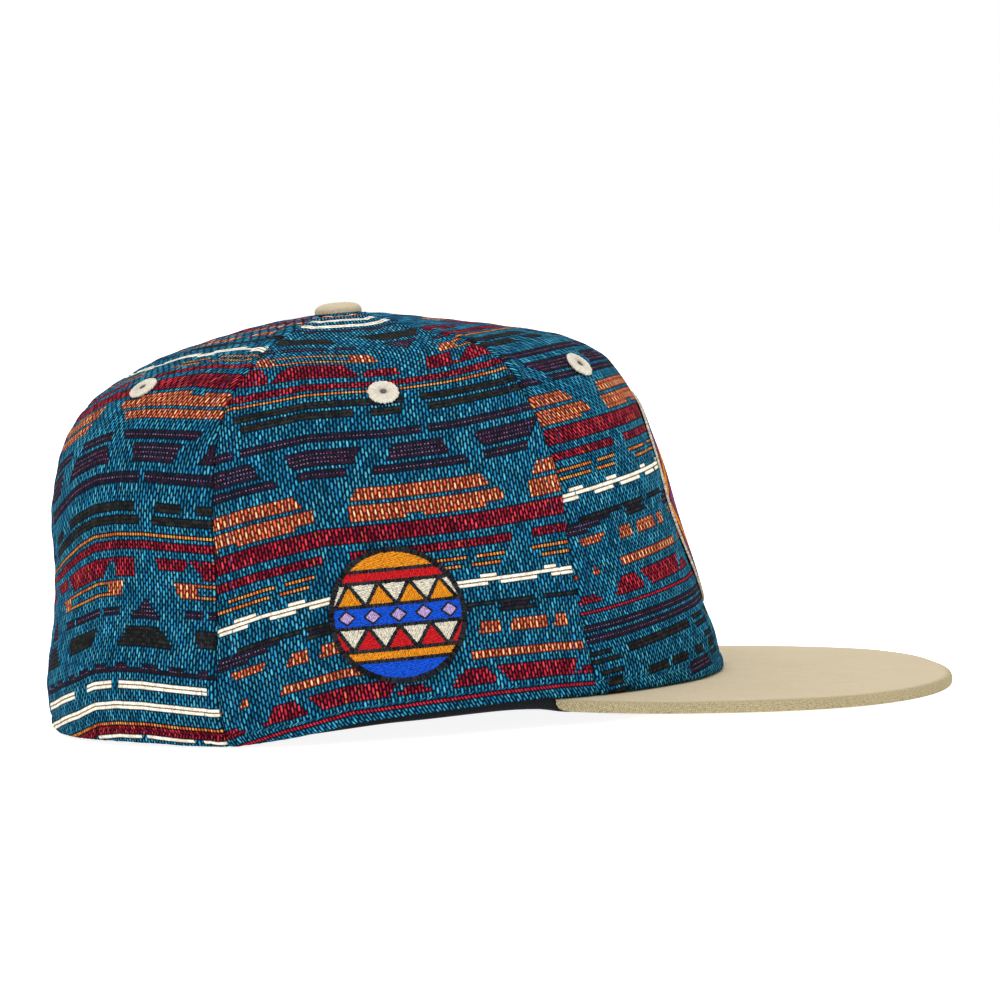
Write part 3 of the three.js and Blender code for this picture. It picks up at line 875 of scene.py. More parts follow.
def droopOf(panel, arc, up):
    low = np.interp(arc, panel["droopArc"], panel["droopLow"])
    high = np.interp(arc, panel["droopArc"], panel["droopHigh"])
    share = (up - cloth["droopLowUp"]) / (cloth["droopHighUp"] - cloth["droopLowUp"])
    sag = np.interp(up, panel["sagUp"], panel["sag"]) * np.interp(arc, panel["sagArc"], panel["sagShare"])
    topShare = np.clip((up - 98) / 14, 0, 1) + np.clip((up - 118) / 25, 0, 1)
    footShare = np.clip((44 - up) / 12, 0, 1)
    crestShare = np.clip((up - 128) / 15, 0, 1)
    return (low + (high - low) * np.clip(share, 0, 1) - sag + panel["crestRise"] * crestShare
            + np.interp(arc, panel["topArc"], panel["topRise"]) * topShare
            + np.interp(arc, panel["footArc"], panel["footRise"]) * footShare)


def skewOf(panel, level):
    # How far the motif is shifted along the cloth, by the level.
    return np.interp(level, panel["skewUp"], panel["skew"])


def stretchOf(panel, level):
    if not panel["stretch"]:
        return 0
    share = (level - panel["stretchFrom"]) / (panel["stretchTo"] - panel["stretchFrom"])
    return panel["stretch"] * np.clip(share, 0, 1)


def toChart(panel, arc, level, shift):
    # Chart coordinates of a place on the cloth: along the motif, and up it.
    turn = panel["chartTurn"]
    along = panel["chartStart"] + turn * arc + shift[0] + skewOf(panel, level)
    return along, panel["chartUp"] + turn * level + stretchOf(panel, level) + shift[1]


def fromChart(panel, chartX, chartY, shift):
    turn = panel["chartTurn"]
    level = turn * (chartY - panel["chartUp"] - shift[1])
    for step in range(4 if panel["stretch"] else 0):
        level = turn * (chartY - panel["chartUp"] - shift[1] - stretchOf(panel, level))
    return turn * (chartX - panel["chartStart"] - shift[0] - skewOf(panel, level)), level


def ripple(arc, up, seed):
    # Slow unevenness of the cloth, in mm.
    draw = np.random.default_rng(seed)
    total = 0
    for wave in range(7):
        turn, phase, size = draw.uniform(0, math.pi), draw.uniform(0, 6.3), draw.uniform(14, 45)
        total = total + np.sin((arc * math.cos(turn) + up * math.sin(turn)) * 2 * math.pi / size + phase)
    return total * cloth["ripple"]


def chartGrid(name, panel, shift):
    # A grid with one column of faces for each warp column and two rows for each yarn row, in chart places.
    column, halfRow, margin = weave["column"], weave["row"] / 2, cloth["chartMargin"]
    ends = [panel["chartStart"] + panel["chartTurn"] * arc for arc in panel["reach"]]
    firstColumn = math.floor((min(ends) + shift[0]) / column)
    lastColumn = math.ceil((max(ends) + shift[0] + panel["skew"][-1]) / column)
    heights = [panel["chartUp"] + panel["chartTurn"] * up for up in (-margin, topUp + margin)]
    firstRow = math.floor((min(heights) + shift[1]) / halfRow)
    lastRow = math.ceil((max(heights) + panel["stretch"] + shift[1]) / halfRow)
    firstRow -= firstRow % 2
    piece, shares = flatGrid(name, lastColumn - firstColumn, lastRow - firstRow)
    chartX = (firstColumn + shares[:, 0] * (lastColumn - firstColumn)) * column
    chartY = (firstRow + shares[:, 1] * (lastRow - firstRow)) * halfRow
    yarnRows = range(firstRow // 2 - 2, math.ceil(lastRow / 2) + 3)
    return piece, chartX, chartY, range(firstColumn, lastColumn), yarnRows


def paintYarns(mesh, chartX, chartY, columns, rows):
    # Each face takes the yarn of the cell that it is in. A dash is two rows long and keeps one shade.
    middleX, middleY = faceMiddles(mesh, chartX, chartY)
    cells = chartCells(np.array(columns), np.array(rows))
    column = np.floor(middleX / weave["column"]).astype(int)
    row = np.floor(middleY / weave["row"]).astype(int) - rows[0]
    odd = column % 2
    dashRow = (np.floor(middleY / (2 * weave["row"]) + odd * 0.5) * 2 - odd).astype(int) - rows[0]
    column = column - columns[0]
    chosen = cells[row, column]
    kinds = np.array([spec["kind"] for spec in yarns.values()])[chosen]
    draws = np.random.default_rng(5).random((len(rows) + 2, len(columns), 2))
    draws = draws[np.where(kinds == 0, dashRow, row), column]
    tone = np.minimum((draws[:, 0] * 3).astype(int), 2)
    orangeTone = np.where(odd == 0, 1, np.where(tone == 1, 0, tone))  # every other orange column is deeper
    tone = np.where(chosen == yarnNames.index("orange"), orangeTone, tone)
    yarn = np.array([[shade(*tint) for tint in spec["shades"]] for spec in yarns.values()])[chosen, tone]
    yarn[(chosen == yarnNames.index("red")) & (draws[:, 1] > 0.97)] = strayYarn
    yarn[:, :3] *= (0.86 + 0.28 * draws[:, 1])[:, None]
    ground = np.array([shade(*spec["ground"]) for spec in yarns.values()])[chosen]
    dots = np.array([(*shade(*spec.get("dots", (0, 0, 0)))[:3], spec.get("dotAmount", 0))
                     for spec in yarns.values()])[chosen]
    # The alpha of yarn and ground says where another yarn lies above or below.
    yarn[:, 3] = cells[row + 1, column] != chosen
    ground[:, 3] = cells[row - 1, column] != chosen
    setColour(mesh, "yarn", yarn)
    setColour(mesh, "ground", ground)
    setColour(mesh, "dots", dots)
    setNumber(mesh, "kind", perFace=kinds)


def trimmed(panel, arc, level):
    # The cloth between its seams, its rim and its top, with each place's distances from the rim and a seam.
    start = math.radians(panel["start"])

    def seamArc(edge, level):
        up = level
        for step in range(4):
            inside = np.clip(up, cloth["lowest"], topUp)
            there = arcFrom(start, -seamAngles(inside)[edge], inside)
            up = level + droopOf(panel, there, up)
        return there

    limits = np.linspace(*panel["reach"], 200)
    rimThere = limits * 0
    for step in range(6):
        angle = angleAtArc(start, limits, rimThere)
        point = crownPoint(angle, rimThere, angle * 0)
        rimThere = rimThere + rimLevel(angle, point) - point[:, 2]
    top = topUp - cloth["topMargin"]
    for step in range(3):
        low = np.interp(arc, limits, rimThere)
        low = low - droopOf(panel, arc, low)
        high = top - droopOf(panel, arc, arc * 0 + top)
        level = np.clip(level, low, high)
        first, last = seamArc(panel["section"] + 1, level), seamArc(panel["section"], level)
        if step < 2:
            arc = np.clip(arc, first + cloth["seamGap"], last - cloth["seamGap"])
    up = level
    for step in range(4):
        up = level + droopOf(panel, arc, up)
    fromRim = np.maximum(up - np.interp(arc, limits, rimThere), 0)
    fromSeam = np.maximum(np.minimum(arc - first, last - arc) - cloth["seamGap"], 0)
    return arc, level, up, fromRim, fromSeam


def relief(arc, up, fromRim, fromSeam, seed):
    # The cloth rolls into the seams, is drawn in by the topstitching and turns under at the hem.
    out = -cloth["seamRoll"] * np.exp(-(fromSeam / cloth["seamWidth"]) ** 2)
    out += cloth["ridge"] * np.exp(-((fromSeam - cloth["ridgeAt"]) / cloth["ridgeWidth"]) ** 2)
    stitched = 0.8 + 0.2 * np.sin(up * 2 * math.pi / cloth["stitchPitch"])
    out -= cloth["stitchDent"] * np.exp(-((fromSeam - cloth["topstitch"]) / 0.6) ** 2) * stitched
    puckers = np.sin(up * 2 * math.pi / cloth["puckerPitch"] + arc * 0.05)
    out += cloth["pucker"] * np.exp(-fromSeam / cloth["puckerReach"]) * puckers
    out += ripple(arc, up, seed) * np.clip(fromSeam / 10, 0.2, 1)
    hemShare = np.clip(fromRim / cloth["hem"], 0, 1)
    out += cloth["hemBulge"] * np.sin(math.pi * hemShare) ** 0.7
    out -= cloth["hemStitch"] * np.exp(-((fromRim - cloth["hem"]) / 0.5) ** 2)
    turnIn = np.clip(1 - fromRim / cloth["turnIn"], 0, 1)
    return out - cloth["turnDepth"] * (1 - np.sqrt(1 - turnIn ** 2))


def crownPanel(part, side):
    panel = panels[part]
    sign, shift = (-1, (0, 0)) if side == "right" else (1, leftShift[part])
    piece, chartX, chartY, columns, rows = chartGrid("cloth_" + part + "_" + side, panel, shift)
    mesh = piece.data
    paintYarns(mesh, chartX, chartY, columns, rows)
    arc, level, up, fromRim, fromSeam = trimmed(panel, *fromChart(panel, chartX, chartY, shift))
    out = relief(arc, up, fromRim, fromSeam, 31 + panel["section"] + (side == "left") * 10)
    points = crownPoint(angleAtArc(math.radians(panel["start"]), arc, up), up, out)
    points[:, 1] *= -sign
    setPlaces(piece, points)
    setNumber(mesh, "hem", fromRim)
    setMap(mesh, "cloth", *toChart(panel, arc, level, shift))

    # The eyelet's hole is cut before the cloth gets its thickness.
    holeAngle, holeUp = eyeletPlaces[part]
    middle = placed(crownPoint(math.radians(holeAngle) * sign, float(holeUp), np.float64(0)))
    fromHole = np.linalg.norm(faceVectors(mesh, "center") - middle, axis=1)
    deleteFaces(piece, fromHole < eyelet["hole"] / 1000)
    weldUp(piece)
    faceFromMiddle(piece)
    mesh.materials.clear()
    for key in ("jacquard", "jacquardBack"):
        mesh.materials.append(materials[key])
    applied(piece, "SOLIDIFY", thickness=crown["wall"] / 1000 - 0.0002, offset=-1, use_even_offset=False,
            material_offset=1, material_offset_rim=0)
    handIn(piece, "jacquard", "crown_" + part + "_" + side)


for side in ("right", "left"):
    for part in panels:
        crownPanel(part, side)


# Topstitching on both sides of every seam, as one piece of small stitches.
stitch = {"size": (0.13, 0.14), "sink": 0.08, "first": 5.5, "last": topUp - 12,
          "tones": ((46, 84, 150), (62, 70, 138), (36, 96, 152))}


def standAt(angle, up, out, along):
    # Place and axes on the crown: along the given direction (turn, rise), across it and outwards.
    here = crownPoint(angle, up, out)
    ahead = crownPoint(angle + along[0] * 0.001, up + along[1] * 0.001, out) - here
    ahead /= np.linalg.norm(ahead, axis=-1, keepdims=True)
    outward = crownNormal(angle, up)
    return here, ahead, np.cross(outward, ahead), outward


def besideSeam(edge, offset, up):
    seam = seamAngles(up)[edge]
    return seam + offset * (-1 if edge == 3 else 1) * cloth["topstitch"] / arcRate(seam, up)


def topstitching():
    rows = [(sign, edge, offset) for sign in (-1, 1) for edge in range(4) for offset in (-1, 1)
            if offset > 0 or edge in (1, 2)]
    ups = np.arange(stitch["first"], stitch["last"], cloth["stitchPitch"])
    angle, lean = [], []
    for sign, edge, offset in rows:
        turn = besideSeam(edge, offset, ups)
        angle.append(sign * turn)
        lean.append(sign * (besideSeam(edge, offset, ups + 0.5) - turn) / 0.5)
    angle, lean, up = np.concatenate(angle), np.concatenate(lean), np.tile(ups, len(rows))
    here, ahead, across, outward = standAt(angle, up, angle * 0 - stitch["sink"], (lean, up * 0 + 1))
    bpy.ops.mesh.primitive_uv_sphere_add(segments=8, ring_count=6, radius=1)
    seed = bpy.context.object
    ball = vertexPlaces(seed.data)
    ball = np.sign(ball) * np.abs(ball) ** np.array([1, 1, 0.7])
    wide, high, long = *stitch["size"], cloth["stitchLength"] / 2
    points = (here[:, None] + ball[None, :, 0:1] * wide * across[:, None]
              + ball[None, :, 1:2] * high * outward[:, None] + ball[None, :, 2:3] * long * ahead[:, None])
    faces = [list(face.vertices) for face in seed.data.polygons]
    allFaces = [[v + i * len(ball) for v in face] for i in range(len(here)) for face in faces]
    bpy.data.objects.remove(seed)
    mesh = bpy.data.meshes.new("topstitching")
    mesh.from_pydata(placed(points.reshape(-1, 3)).tolist(), [], allFaces)
    piece = bpy.data.objects.new("topstitching", mesh)
    bpy.context.scene.collection.objects.link(piece)
    tones = np.array([shade(*tone) for tone in stitch["tones"]])
    setColour(mesh, "thread", tones[np.repeat(chance.integers(0, 3, len(here)), len(faces))])
    setMap(mesh, "stitch", *(np.tile(ball[:, [2, 0]] * [1.3, 0.4], (len(here), 1)).T))
    faceOut(piece)
    handIn(piece, "jacquard", material="stitch")
    print("cap: topstitching", len(here), "stitches")


topstitching()


# The visor: one sheet of canvas wrapped round the board, from the head's opening round the edge and back.
def visorEdge(share):
    turn, side = np.abs(2 * share - 1), np.sign(2 * share - 1)
    back = (turn - visor["frontShare"]) / (1 - visor["frontShare"]) * (visor["widest"] - visor["rear"])
    narrowing = visor["rearNarrowing"] * (np.maximum(back, 0) / (visor["widest"] - visor["rear"])) ** 2
    angle = np.minimum(turn / visor["frontShare"], 1) * math.pi / 2
    power = 2 / visor["frontPower"]
    frontX = visor["widest"] + (visor["tip"] - visor["widest"]) * np.maximum(np.cos(angle), 0) ** power
    frontY = visor["halfWidth"] * np.sin(angle) ** power
    behind = turn > visor["frontShare"]
    x = np.where(behind, visor["widest"] - back, frontX)
    return np.stack([x, side * np.where(behind, visor["halfWidth"] - narrowing, frontY)], -1)


def visorUnder(x, y):
    return visorTop(x, y) - visor["thickness"]


def innerWall(angle, levelOf):
    # Where the crown's inner wall meets the top or the underside of the visor.
    depth = -crown["wall"]
    up = upAtLevel(angle, depth, lambda angles, points: levelOf(points[..., 0], points[..., 1]))
    return crownPoint(angle, up, angle * 0 + depth)


def roundEnd(along, length, size):
    # Grows from 0 to 1 over the last stretch before each end, as a quarter circle does.
    share = np.minimum(np.minimum(along, 1 - along) * length / size, 1)
    return np.sqrt(1 - (1 - share) ** 2)


def visorPiece():
    fine = visorEdge(np.linspace(0, 1, 4001))
    reach = np.concatenate([[0], np.cumsum(np.linalg.norm(np.diff(fine, axis=0), axis=1))])
    across, edge = visor["acrossSteps"], visor["edgeSteps"]
    rows = 2 * across + edge + visor["wallSteps"]
    piece, shares = flatGrid("visor_cover", visor["alongSteps"], rows)
    step = np.rint(shares[:, 1] * rows).astype(int)
    along = (1 - np.cos(math.pi * shares[:, 0])) / 2 * 0.35 + shares[:, 0] * 0.65  # closer at the corners
    angle = np.radians(visor["coverAngle"]) * (2 * along - 1)
    innerTop, innerUnder = innerWall(angle, visorTop), innerWall(angle, visorUnder)
    distance = along * reach[-1]
    outer = np.stack([np.interp(distance, reach, fine[:, 0]), np.interp(distance, reach, fine[:, 1])], -1)
    width = np.maximum(visor["cornerWidth"], roundEnd(along, reach[-1], visor["cornerRound"]))[:, None]
    outer = (outer - innerTop[:, :2]) * width + innerTop[:, :2]
    reachOut = outer - innerTop[:, :2]
    span = np.linalg.norm(reachOut, axis=1)
    outwards = reachOut / span[:, None]
    half = visor["thickness"] / 2 * (0.4 + 0.6 * roundEnd(along, reach[-1], visor["taper"]))
    edgeRound = np.minimum(visor["edgeRound"], span * 0.4)

    def outTo(distances):
        return innerTop[:, :2] + outwards * distances[:, None]

    # Steps: along the top, round the edge, back along the underside, then up the inner wall.
    onTop, onEdge = step <= across, (step > across) & (step < across + edge)
    onWall = step > 2 * across + edge
    topShare = 1 - np.clip(1 - step / across, 0, 1) ** 1.7
    edgeTurn = np.clip((step - across) / edge, 0, 1) * math.pi
    backShare = np.clip((step - across - edge) / across, 0, 1)[:, None] ** 1.7
    climb = np.clip((step - 2 * across - edge) / visor["wallSteps"], 0, 1)
    edgeXY = outTo(span - edgeRound + edgeRound * np.abs(np.sin(edgeTurn)) ** 0.75)
    edgeEnd = outTo(span - edgeRound)
    underXY = edgeEnd + (innerUnder[:, :2] - edgeEnd) * backShare
    wallXY = innerUnder[:, :2] * (1 - climb[:, None]) + innerTop[:, :2] * climb[:, None]
    places = (onTop[:, None], onEdge[:, None], onWall[:, None])
    xy = np.select(places, (outTo(topShare * (span - edgeRound)), edgeXY, wallXY), underXY)
    edgeDrop = half - half * np.sign(np.cos(edgeTurn)) * np.abs(np.cos(edgeTurn)) ** 0.8
    drop = np.select((onTop, onEdge, onWall), (half * 0, edgeDrop, 2 * half * (1 - climb)), 2 * half)
    # The canvas is a little uneven over the board.
    uneven = 0.07 * np.sin(xy[:, 0] / 9 + np.sin(xy[:, 1] / 13)) * np.sin(xy[:, 1] / 11) * (drop < half)
    z = visorTop(xy[:, 0], xy[:, 1]) - drop + uneven
    setPlaces(piece, np.concatenate([xy, z[:, None]], 1))
    # The "edge" number also sets where the canvas is painted darker, as painted shade on the visor's edge.
    overEdge = np.select((onTop, onEdge), ((topShare - 1) * (span - edgeRound), edgeTurn * half), 2 * half)
    setNumber(piece.data, "edge", np.clip((overEdge + 0.7) / 1.6, 0, 1))
    mapXY = np.where((onTop | onEdge)[:, None], xy + outwards * (drop * 1.2)[:, None], xy + 300)
    setMap(piece.data, "cloth", *mapXY.T)
    closeUp(piece)
    handIn(piece, "canvas", "visor", material="canvas", smooth=50)
    print("cap: visor", len(piece.data.polygons), "faces")


visorPiece()


# The sweatband: a black strip folded over at its lower edge, inside the rim.
sweatband = {
    "angle": (63.5, 66, 70, 77, 90, 97, 110, 121.5, 138, 180),
    "height": (-3.3, -2.6, -1, 0, 0, -0.2, -1.8, -3.1, -1.7, -1.3),
    "length": 570,
    "wall": 1.2,
    "clearance": 0.45,
    "topUp": 32,
    "belowVisor": 0.4,
    "wave": 0.1,
    "columns": 320,
    "rows": 18,
    "foldRows": 6,
}
sweatbandCurve = curveThrough(sweatband["angle"], sweatband["height"])


def sweatbandLevel(angle, point):
    underVisor = visorUnder(point[..., 0], point[..., 1]) - sweatband["belowVisor"]
    away = np.degrees(np.abs(angle))
    return np.where(away < visor["cornerAngle"], underVisor, sweatbandCurve(away))


def sweatbandPiece():
    rows, fold = sweatband["rows"], sweatband["foldRows"]
    whole = 2 * rows + 2 * fold
    piece, shares = flatGrid("sweatband_cloth", sweatband["columns"], whole)
    angle = (shares[:, 0] * 2 - 1) * math.pi
    step = np.rint(shares[:, 1] * whole).astype(int)
    outerDepth = -crown["wall"] - sweatband["clearance"]
    half = sweatband["wall"] / 2
    low, high = upAtLevel(angle, outerDepth, sweatbandLevel) + half, sweatband["topUp"] - half
    # A long closed outline: down the outside, round the fold, up the inside and over the top.
    stretches = (step <= rows, step <= rows + fold, step <= 2 * rows + fold)
    down = np.clip(step / rows, 0, 1)
    foldTurn = np.clip((step - rows) / fold, 0, 1) * math.pi
    climb = np.clip((step - rows - fold) / rows, 0, 1)
    topTurn = np.clip((step - 2 * rows - fold) / fold, 0, 1) * math.pi
    ups = (high + (low - high) * down, low - half * np.sin(foldTurn), low + (high - low) * climb)
    up = np.select(stretches, ups, high + half * np.sin(topTurn))
    depths = (step * 0.0, half * (1 - np.cos(foldTurn)), step * 0 + 2 * half)
    depth = np.select(stretches, depths, half * (1 + np.cos(topTurn)))
    wave = np.minimum(sweatband["wave"] * np.sin(angle * 23) * np.sin(up / 7), 0)
    setPlaces(piece, crownPoint(angle, up, outerDepth - depth + wave))
    setMap(piece.data, "cloth", shares[:, 0] * sweatband["length"], step * 1.0)
    weldUp(piece)
    faceOut(piece)
    handIn(piece, "sweatband_twill", "sweatband", material="twill")
    print("cap: sweatband", len(piece.data.polygons), "faces")


sweatbandPiece()


# The button: canvas drawn over a domed blank, with small pleats where it is gathered under the rim.
button = {"radius": 7.05, "under": 113.0, "edge": 113.6, "squareness": 2.7, "underPower": (0.6, 0.45),
          "pleats": 22, "pleatDepth": 0.09, "pleatHeight": 1.6}


def buttonPiece():
    bpy.ops.mesh.primitive_uv_sphere_add(segments=88, ring_count=28, radius=1)
    piece = bpy.context.object
    piece.name = piece.data.name = "button_cover"
    ball = vertexPlaces(piece.data)
    around = np.arctan2(ball[:, 1], ball[:, 0])
    level = np.clip(np.hypot(ball[:, 0], ball[:, 1]), 0, 1)
    above = ball[:, 2] > 0
    power = 2 / button["squareness"]
    rise = np.where(above, np.abs(ball[:, 2]) ** power * (buttonTop["z"] - button["edge"]),
                    -np.abs(ball[:, 2]) ** button["underPower"][0] * (button["edge"] - button["under"]))
    low = np.clip(1 - rise / button["pleatHeight"], 0, 1)
    pleat = np.cos(around * button["pleats"] + np.sin(around * 3)) * low
    radius = button["radius"] * level ** np.where(above, power, button["underPower"][1])
    radius -= button["pleatDepth"] * (low - pleat) * level
    x, y = radius * np.cos(around), radius * np.sin(around)
    setPlaces(piece, np.stack([buttonTop["x"] + x, y, button["edge"] + rise], 1))
    spread = (1.2 - 0.2 * ball[:, 2]) * 7
    setMap(piece.data, "cloth", ball[:, 0] * spread, ball[:, 1] * spread)
    faceOut(piece)
    handIn(piece, "canvas", "top_button", material="canvas")
    print("cap: button")


buttonPiece()


# Eyelets: a ring of satin stitches from the small hole out, each thread laid beside the next.
def eyeletPiece(part, side):
    count, rings, underRings, bore = (eyelet[k] for k in ("threads", "rings", "underRings", "bore"))
    piece, shares = flatGrid("eyelet_ring_" + part + "_" + side, count * 4, rings + underRings)
    mesh = piece.data
    step = np.rint(shares[:, 1] * (rings + underRings)).astype(int)
    draw = np.random.default_rng({"front": 3, "side": 4, "back": 6}[part] + (side == "left"))
    lengths = draw.uniform(0.92, 1.04, count + 1)
    lengths[-1] = lengths[0]
    thread = shares[:, 0] * count
    outer = eyelet["radius"] * np.interp(thread, np.arange(count + 1), lengths)
    ridge = np.abs(np.sin(thread * math.pi))
    share = np.clip(step / rings, 0, 1)
    swellUp = np.sin(np.clip(share * 0.92 + 0.06, 0, 1) * math.pi) ** 0.55
    below = np.clip((step - rings) / underRings, 0, 1)  # the underside goes back to the hole
    radius = np.where(step > rings, outer + (bore - outer) * below,
                      bore + (outer - bore) * (0.5 - 0.5 * np.cos(share * math.pi)))
    lift = np.where(step > rings, -0.9 * np.sin(below * math.pi / 2) + 0.2 * (1 - below),
                    eyelet["seat"] + eyelet["height"] * swellUp * (0.96 + 0.04 * ridge))
    angle = np.array([math.radians(eyeletPlaces[part][0]) * (-1 if side == "right" else 1)])
    up = np.array([float(eyeletPlaces[part][1])])
    here, ahead, across, outward = standAt(angle, up, np.zeros(1), (np.zeros(1), np.ones(1)))
    turn = shares[:, 0:1] * 2 * math.pi
    ringWay = np.cos(turn) * across + np.sin(turn) * ahead
    setPlaces(piece, here + radius[:, None] * ringWay + lift[:, None] * outward)
    faceThread, faceRadius = faceMiddles(mesh, thread, radius)
    ofThread = draw.integers(0, 3, count)[np.clip(faceThread, 0, count - 1).astype(int)]
    tones = np.array([shade(*tone) for tone in eyelet["tones"]])[ofThread]
    # Painted shade: the threads are darkened towards the hole, where the hollow lies in shade.
    tones[:, :3] *= (0.25 + 0.75 * np.clip((faceRadius - 0.78) / 0.42, 0, 1))[:, None]  # darker near the hole
    setColour(mesh, "thread", tones)
    setMap(mesh, "stitch", radius, thread * satin["eyeletThread"]["thread"])
    closeUp(piece)
    handIn(piece, "eyelet_thread", "eyelet_" + part + "_" + side, material="eyelet")


for side in ("right", "left"):
    for part in eyeletPlaces:
        eyeletPiece(part, side)
print("cap: eyelets")


# Patches: a ground of satin fillings, outlines of satin cord and a stitched border.
threads = {
    "black": (38, 39, 43), "cream": (230, 222, 200), "red": (206, 32, 38), "orange": (236, 146, 34),
    "blue": (24, 84, 214), "lilac": (196, 168, 222), "maroon": (124, 34, 50), "violet": (104, 78, 134),
}
sidePatch = {
    "angle": -91, "up": 30, "halfWidth": 19, "halfHeight": 19, "power": 2,
    "seat": 0.35, "wall": 1.2, "dome": 0,
    "border": 2.0, "borderHigh": 1.5, "borderThread": "black",
    "cell": 0.34, "cord": 1.15, "cordHigh": 0.42,
    "lines": (-12.4, -9.4, -3.0, 3.0, 9.4, 12.6), "points": (8.4, 6.4), "lozenges": (-14, -7, 0, 7, 14),
}
frontPatch = {
    "angle": 0, "up": 51, "halfWidth": 27, "halfHeight": 34, "power": 1.7,
    "seat": 0.35, "wall": 0.8, "dome": 0.45,
    "border": 0.8, "borderHigh": 0.64, "borderThread": "cream",
    "cell": 0.42, "ring": 3.9,
    "rings": ("lilac", "blue", "orange", "maroon", "red", "violet", "maroon", "orange", "maroon", "violet",
              "maroon"),
}


def onPatch(patch, across, along, lift):
    middle = math.radians(patch["angle"])
    angle = middle + across / arcRate(middle, float(patch["up"]))
    return crownPoint(angle, patch["up"] + along, patch["seat"] + lift)


def outlinePoint(patch, turn, inset):
    power = 2 / patch["power"]
    return [np.sign(way) * np.abs(way) ** power * (patch[size] - inset)
            for way, size in ((np.cos(turn), "halfWidth"), (np.sin(turn), "halfHeight"))]


# A filling lists which thread fills a place and its stitch direction. The first that holds is taken.
def sideFilling(x, y):
    # Bands with rows of points that stand side by side, from the lower edge up.
    low, foot, under, over, head, high = sidePatch["lines"]
    pitch, height = sidePatch["points"]
    points = height * (1 - np.abs(((x + pitch / 2) / pitch) % 1 - 0.5) * 2)
    lozenge = np.abs((x + 3.5) % 7 - 3.5) * 1.15 + np.abs(y) * 1.3 < 2.6
    return (
        (y < low, "blue", 0), (y < foot, "orange", 90), (y < foot + points, "red", 0),
        (y < under, "cream", 90), ((np.abs(y) < over) & lozenge, "lilac", 90), (y < over, "blue", 0),
        (y < head - points, "orange", 90), (y < head, "cream", 0), (y < high, "red", 90),
        (y > high, "orange", 0),
    )


def frontFilling(x, y):
    ring = ((np.abs(y) * 0.9 + np.abs(x)) / frontPatch["ring"]).astype(int)
    return [(ring == i, thread, 90 * (i % 2)) for i, thread in enumerate(frontPatch["rings"])]


def patchGround(name, patch, filling):
    # A fine grid trimmed to the outline, with one thread colour a cell.
    across, along = (int(2 * patch[size] / patch["cell"]) for size in ("halfWidth", "halfHeight"))
    ground, shares = flatGrid(name + "_ground", across, along)
    mesh = ground.data
    x, y = (shares[:, 0] * 2 - 1) * patch["halfWidth"], (shares[:, 1] * 2 - 1) * patch["halfHeight"]
    middles = np.stack(faceMiddles(mesh, x, y), 1)
    jag = np.random.default_rng(8).uniform(-0.16, 0.16, (len(middles), 2))
    colour = np.tile(np.array(shade(*threads["cream"])), (len(middles), 1))
    turns, free = np.zeros(len(middles)), np.ones(len(middles), bool)
    for where, thread, direction in filling(*(middles + jag).T):
        colour[where & free] = shade(*threads[thread])
        turns[where & free] = math.radians(direction + 12)
        free &= ~where
    setColour(mesh, "thread", colour)
    setMap(mesh, "stitch", x, y, turns)
    inset = patch["border"] * 0.6
    reach = (np.abs(x) / (patch["halfWidth"] - inset)) ** patch["power"]
    reach += (np.abs(y) / (patch["halfHeight"] - inset)) ** patch["power"]
    wave = 0.05 * np.sin(x * 2.1 + np.sin(y * 1.3)) * np.sin(y * 1.9)
    domed = patch["dome"] * np.clip(1 - reach, 0, 1) ** 0.6
    setPlaces(ground, onPatch(patch, x, y, patch["wall"] - 0.12 + wave + domed))
    deleteFaces(ground, faceMiddles(mesh, reach) > 1)
    faceFromMiddle(ground)
    applied(ground, "SOLIDIFY", thickness=(patch["wall"] - 0.25) / 1000, offset=-1)
    return ground


def cordStrip(patch, pathX, pathY, width, high, base, thread, closed=False):
    # A satin cord: short threads across a path, rounded in section, each a little different.
    steps = np.concatenate([[0], np.cumsum(np.hypot(np.diff(pathX), np.diff(pathY)))])
    count = max(8, int(steps[-1] / 0.17))
    count -= count % 2
    strip, shares = flatGrid("cord", count, 8)
    at = shares[:, 0] * steps[-1]
    x, y = np.interp(at, steps, pathX), np.interp(at, steps, pathY)
    dx, dy = (np.interp(at + 0.3, steps, path) - np.interp(at - 0.3, steps, path) for path in (pathX, pathY))
    if closed:
        ends = (at < 0.3) | (at > steps[-1] - 0.3)
        dx, dy = (np.where(ends, path[1] - path[0] + path[-1] - path[-2], way)
                  for path, way in ((pathX, dx), (pathY, dy)))
    size = np.hypot(dx, dy)
    draw = np.random.default_rng(count)
    uneven = np.repeat(draw.uniform(0.78, 1.16, count // 2 + 1), 2)[:count + 1]
    uneven[-1] = uneven[0]
    index = np.rint(shares[:, 0] * count).astype(int)
    turn = shares[:, 1] * math.pi
    aside = np.cos(turn) * width / 2 * uneven[index]
    lift = base + high * np.sin(turn) ** 0.8 * np.where(index % 2 == 0, 1.0, 0.86)
    setPlaces(strip, onPatch(patch, x - dy / size * aside, y + dx / size * aside, lift))
    tones = np.tile(np.array(shade(*threads[thread])), (len(strip.data.polygons), 1))
    darkest, lightest = (0.3, 2.4) if thread == "black" else (0.84, 1.12)
    ofThread = (faceMiddles(strip.data, shares[:, 0]) * count / 2).astype(int)
    tones[:, :3] *= draw.uniform(darkest, lightest, count // 2 + 1)[ofThread][:, None]
    tones[:, :3] *= draw.uniform(0.8, 1.2, (len(tones), 1))
    setColour(strip.data, "thread", tones)
    setMap(strip.data, "stitch", aside, at)
    return strip


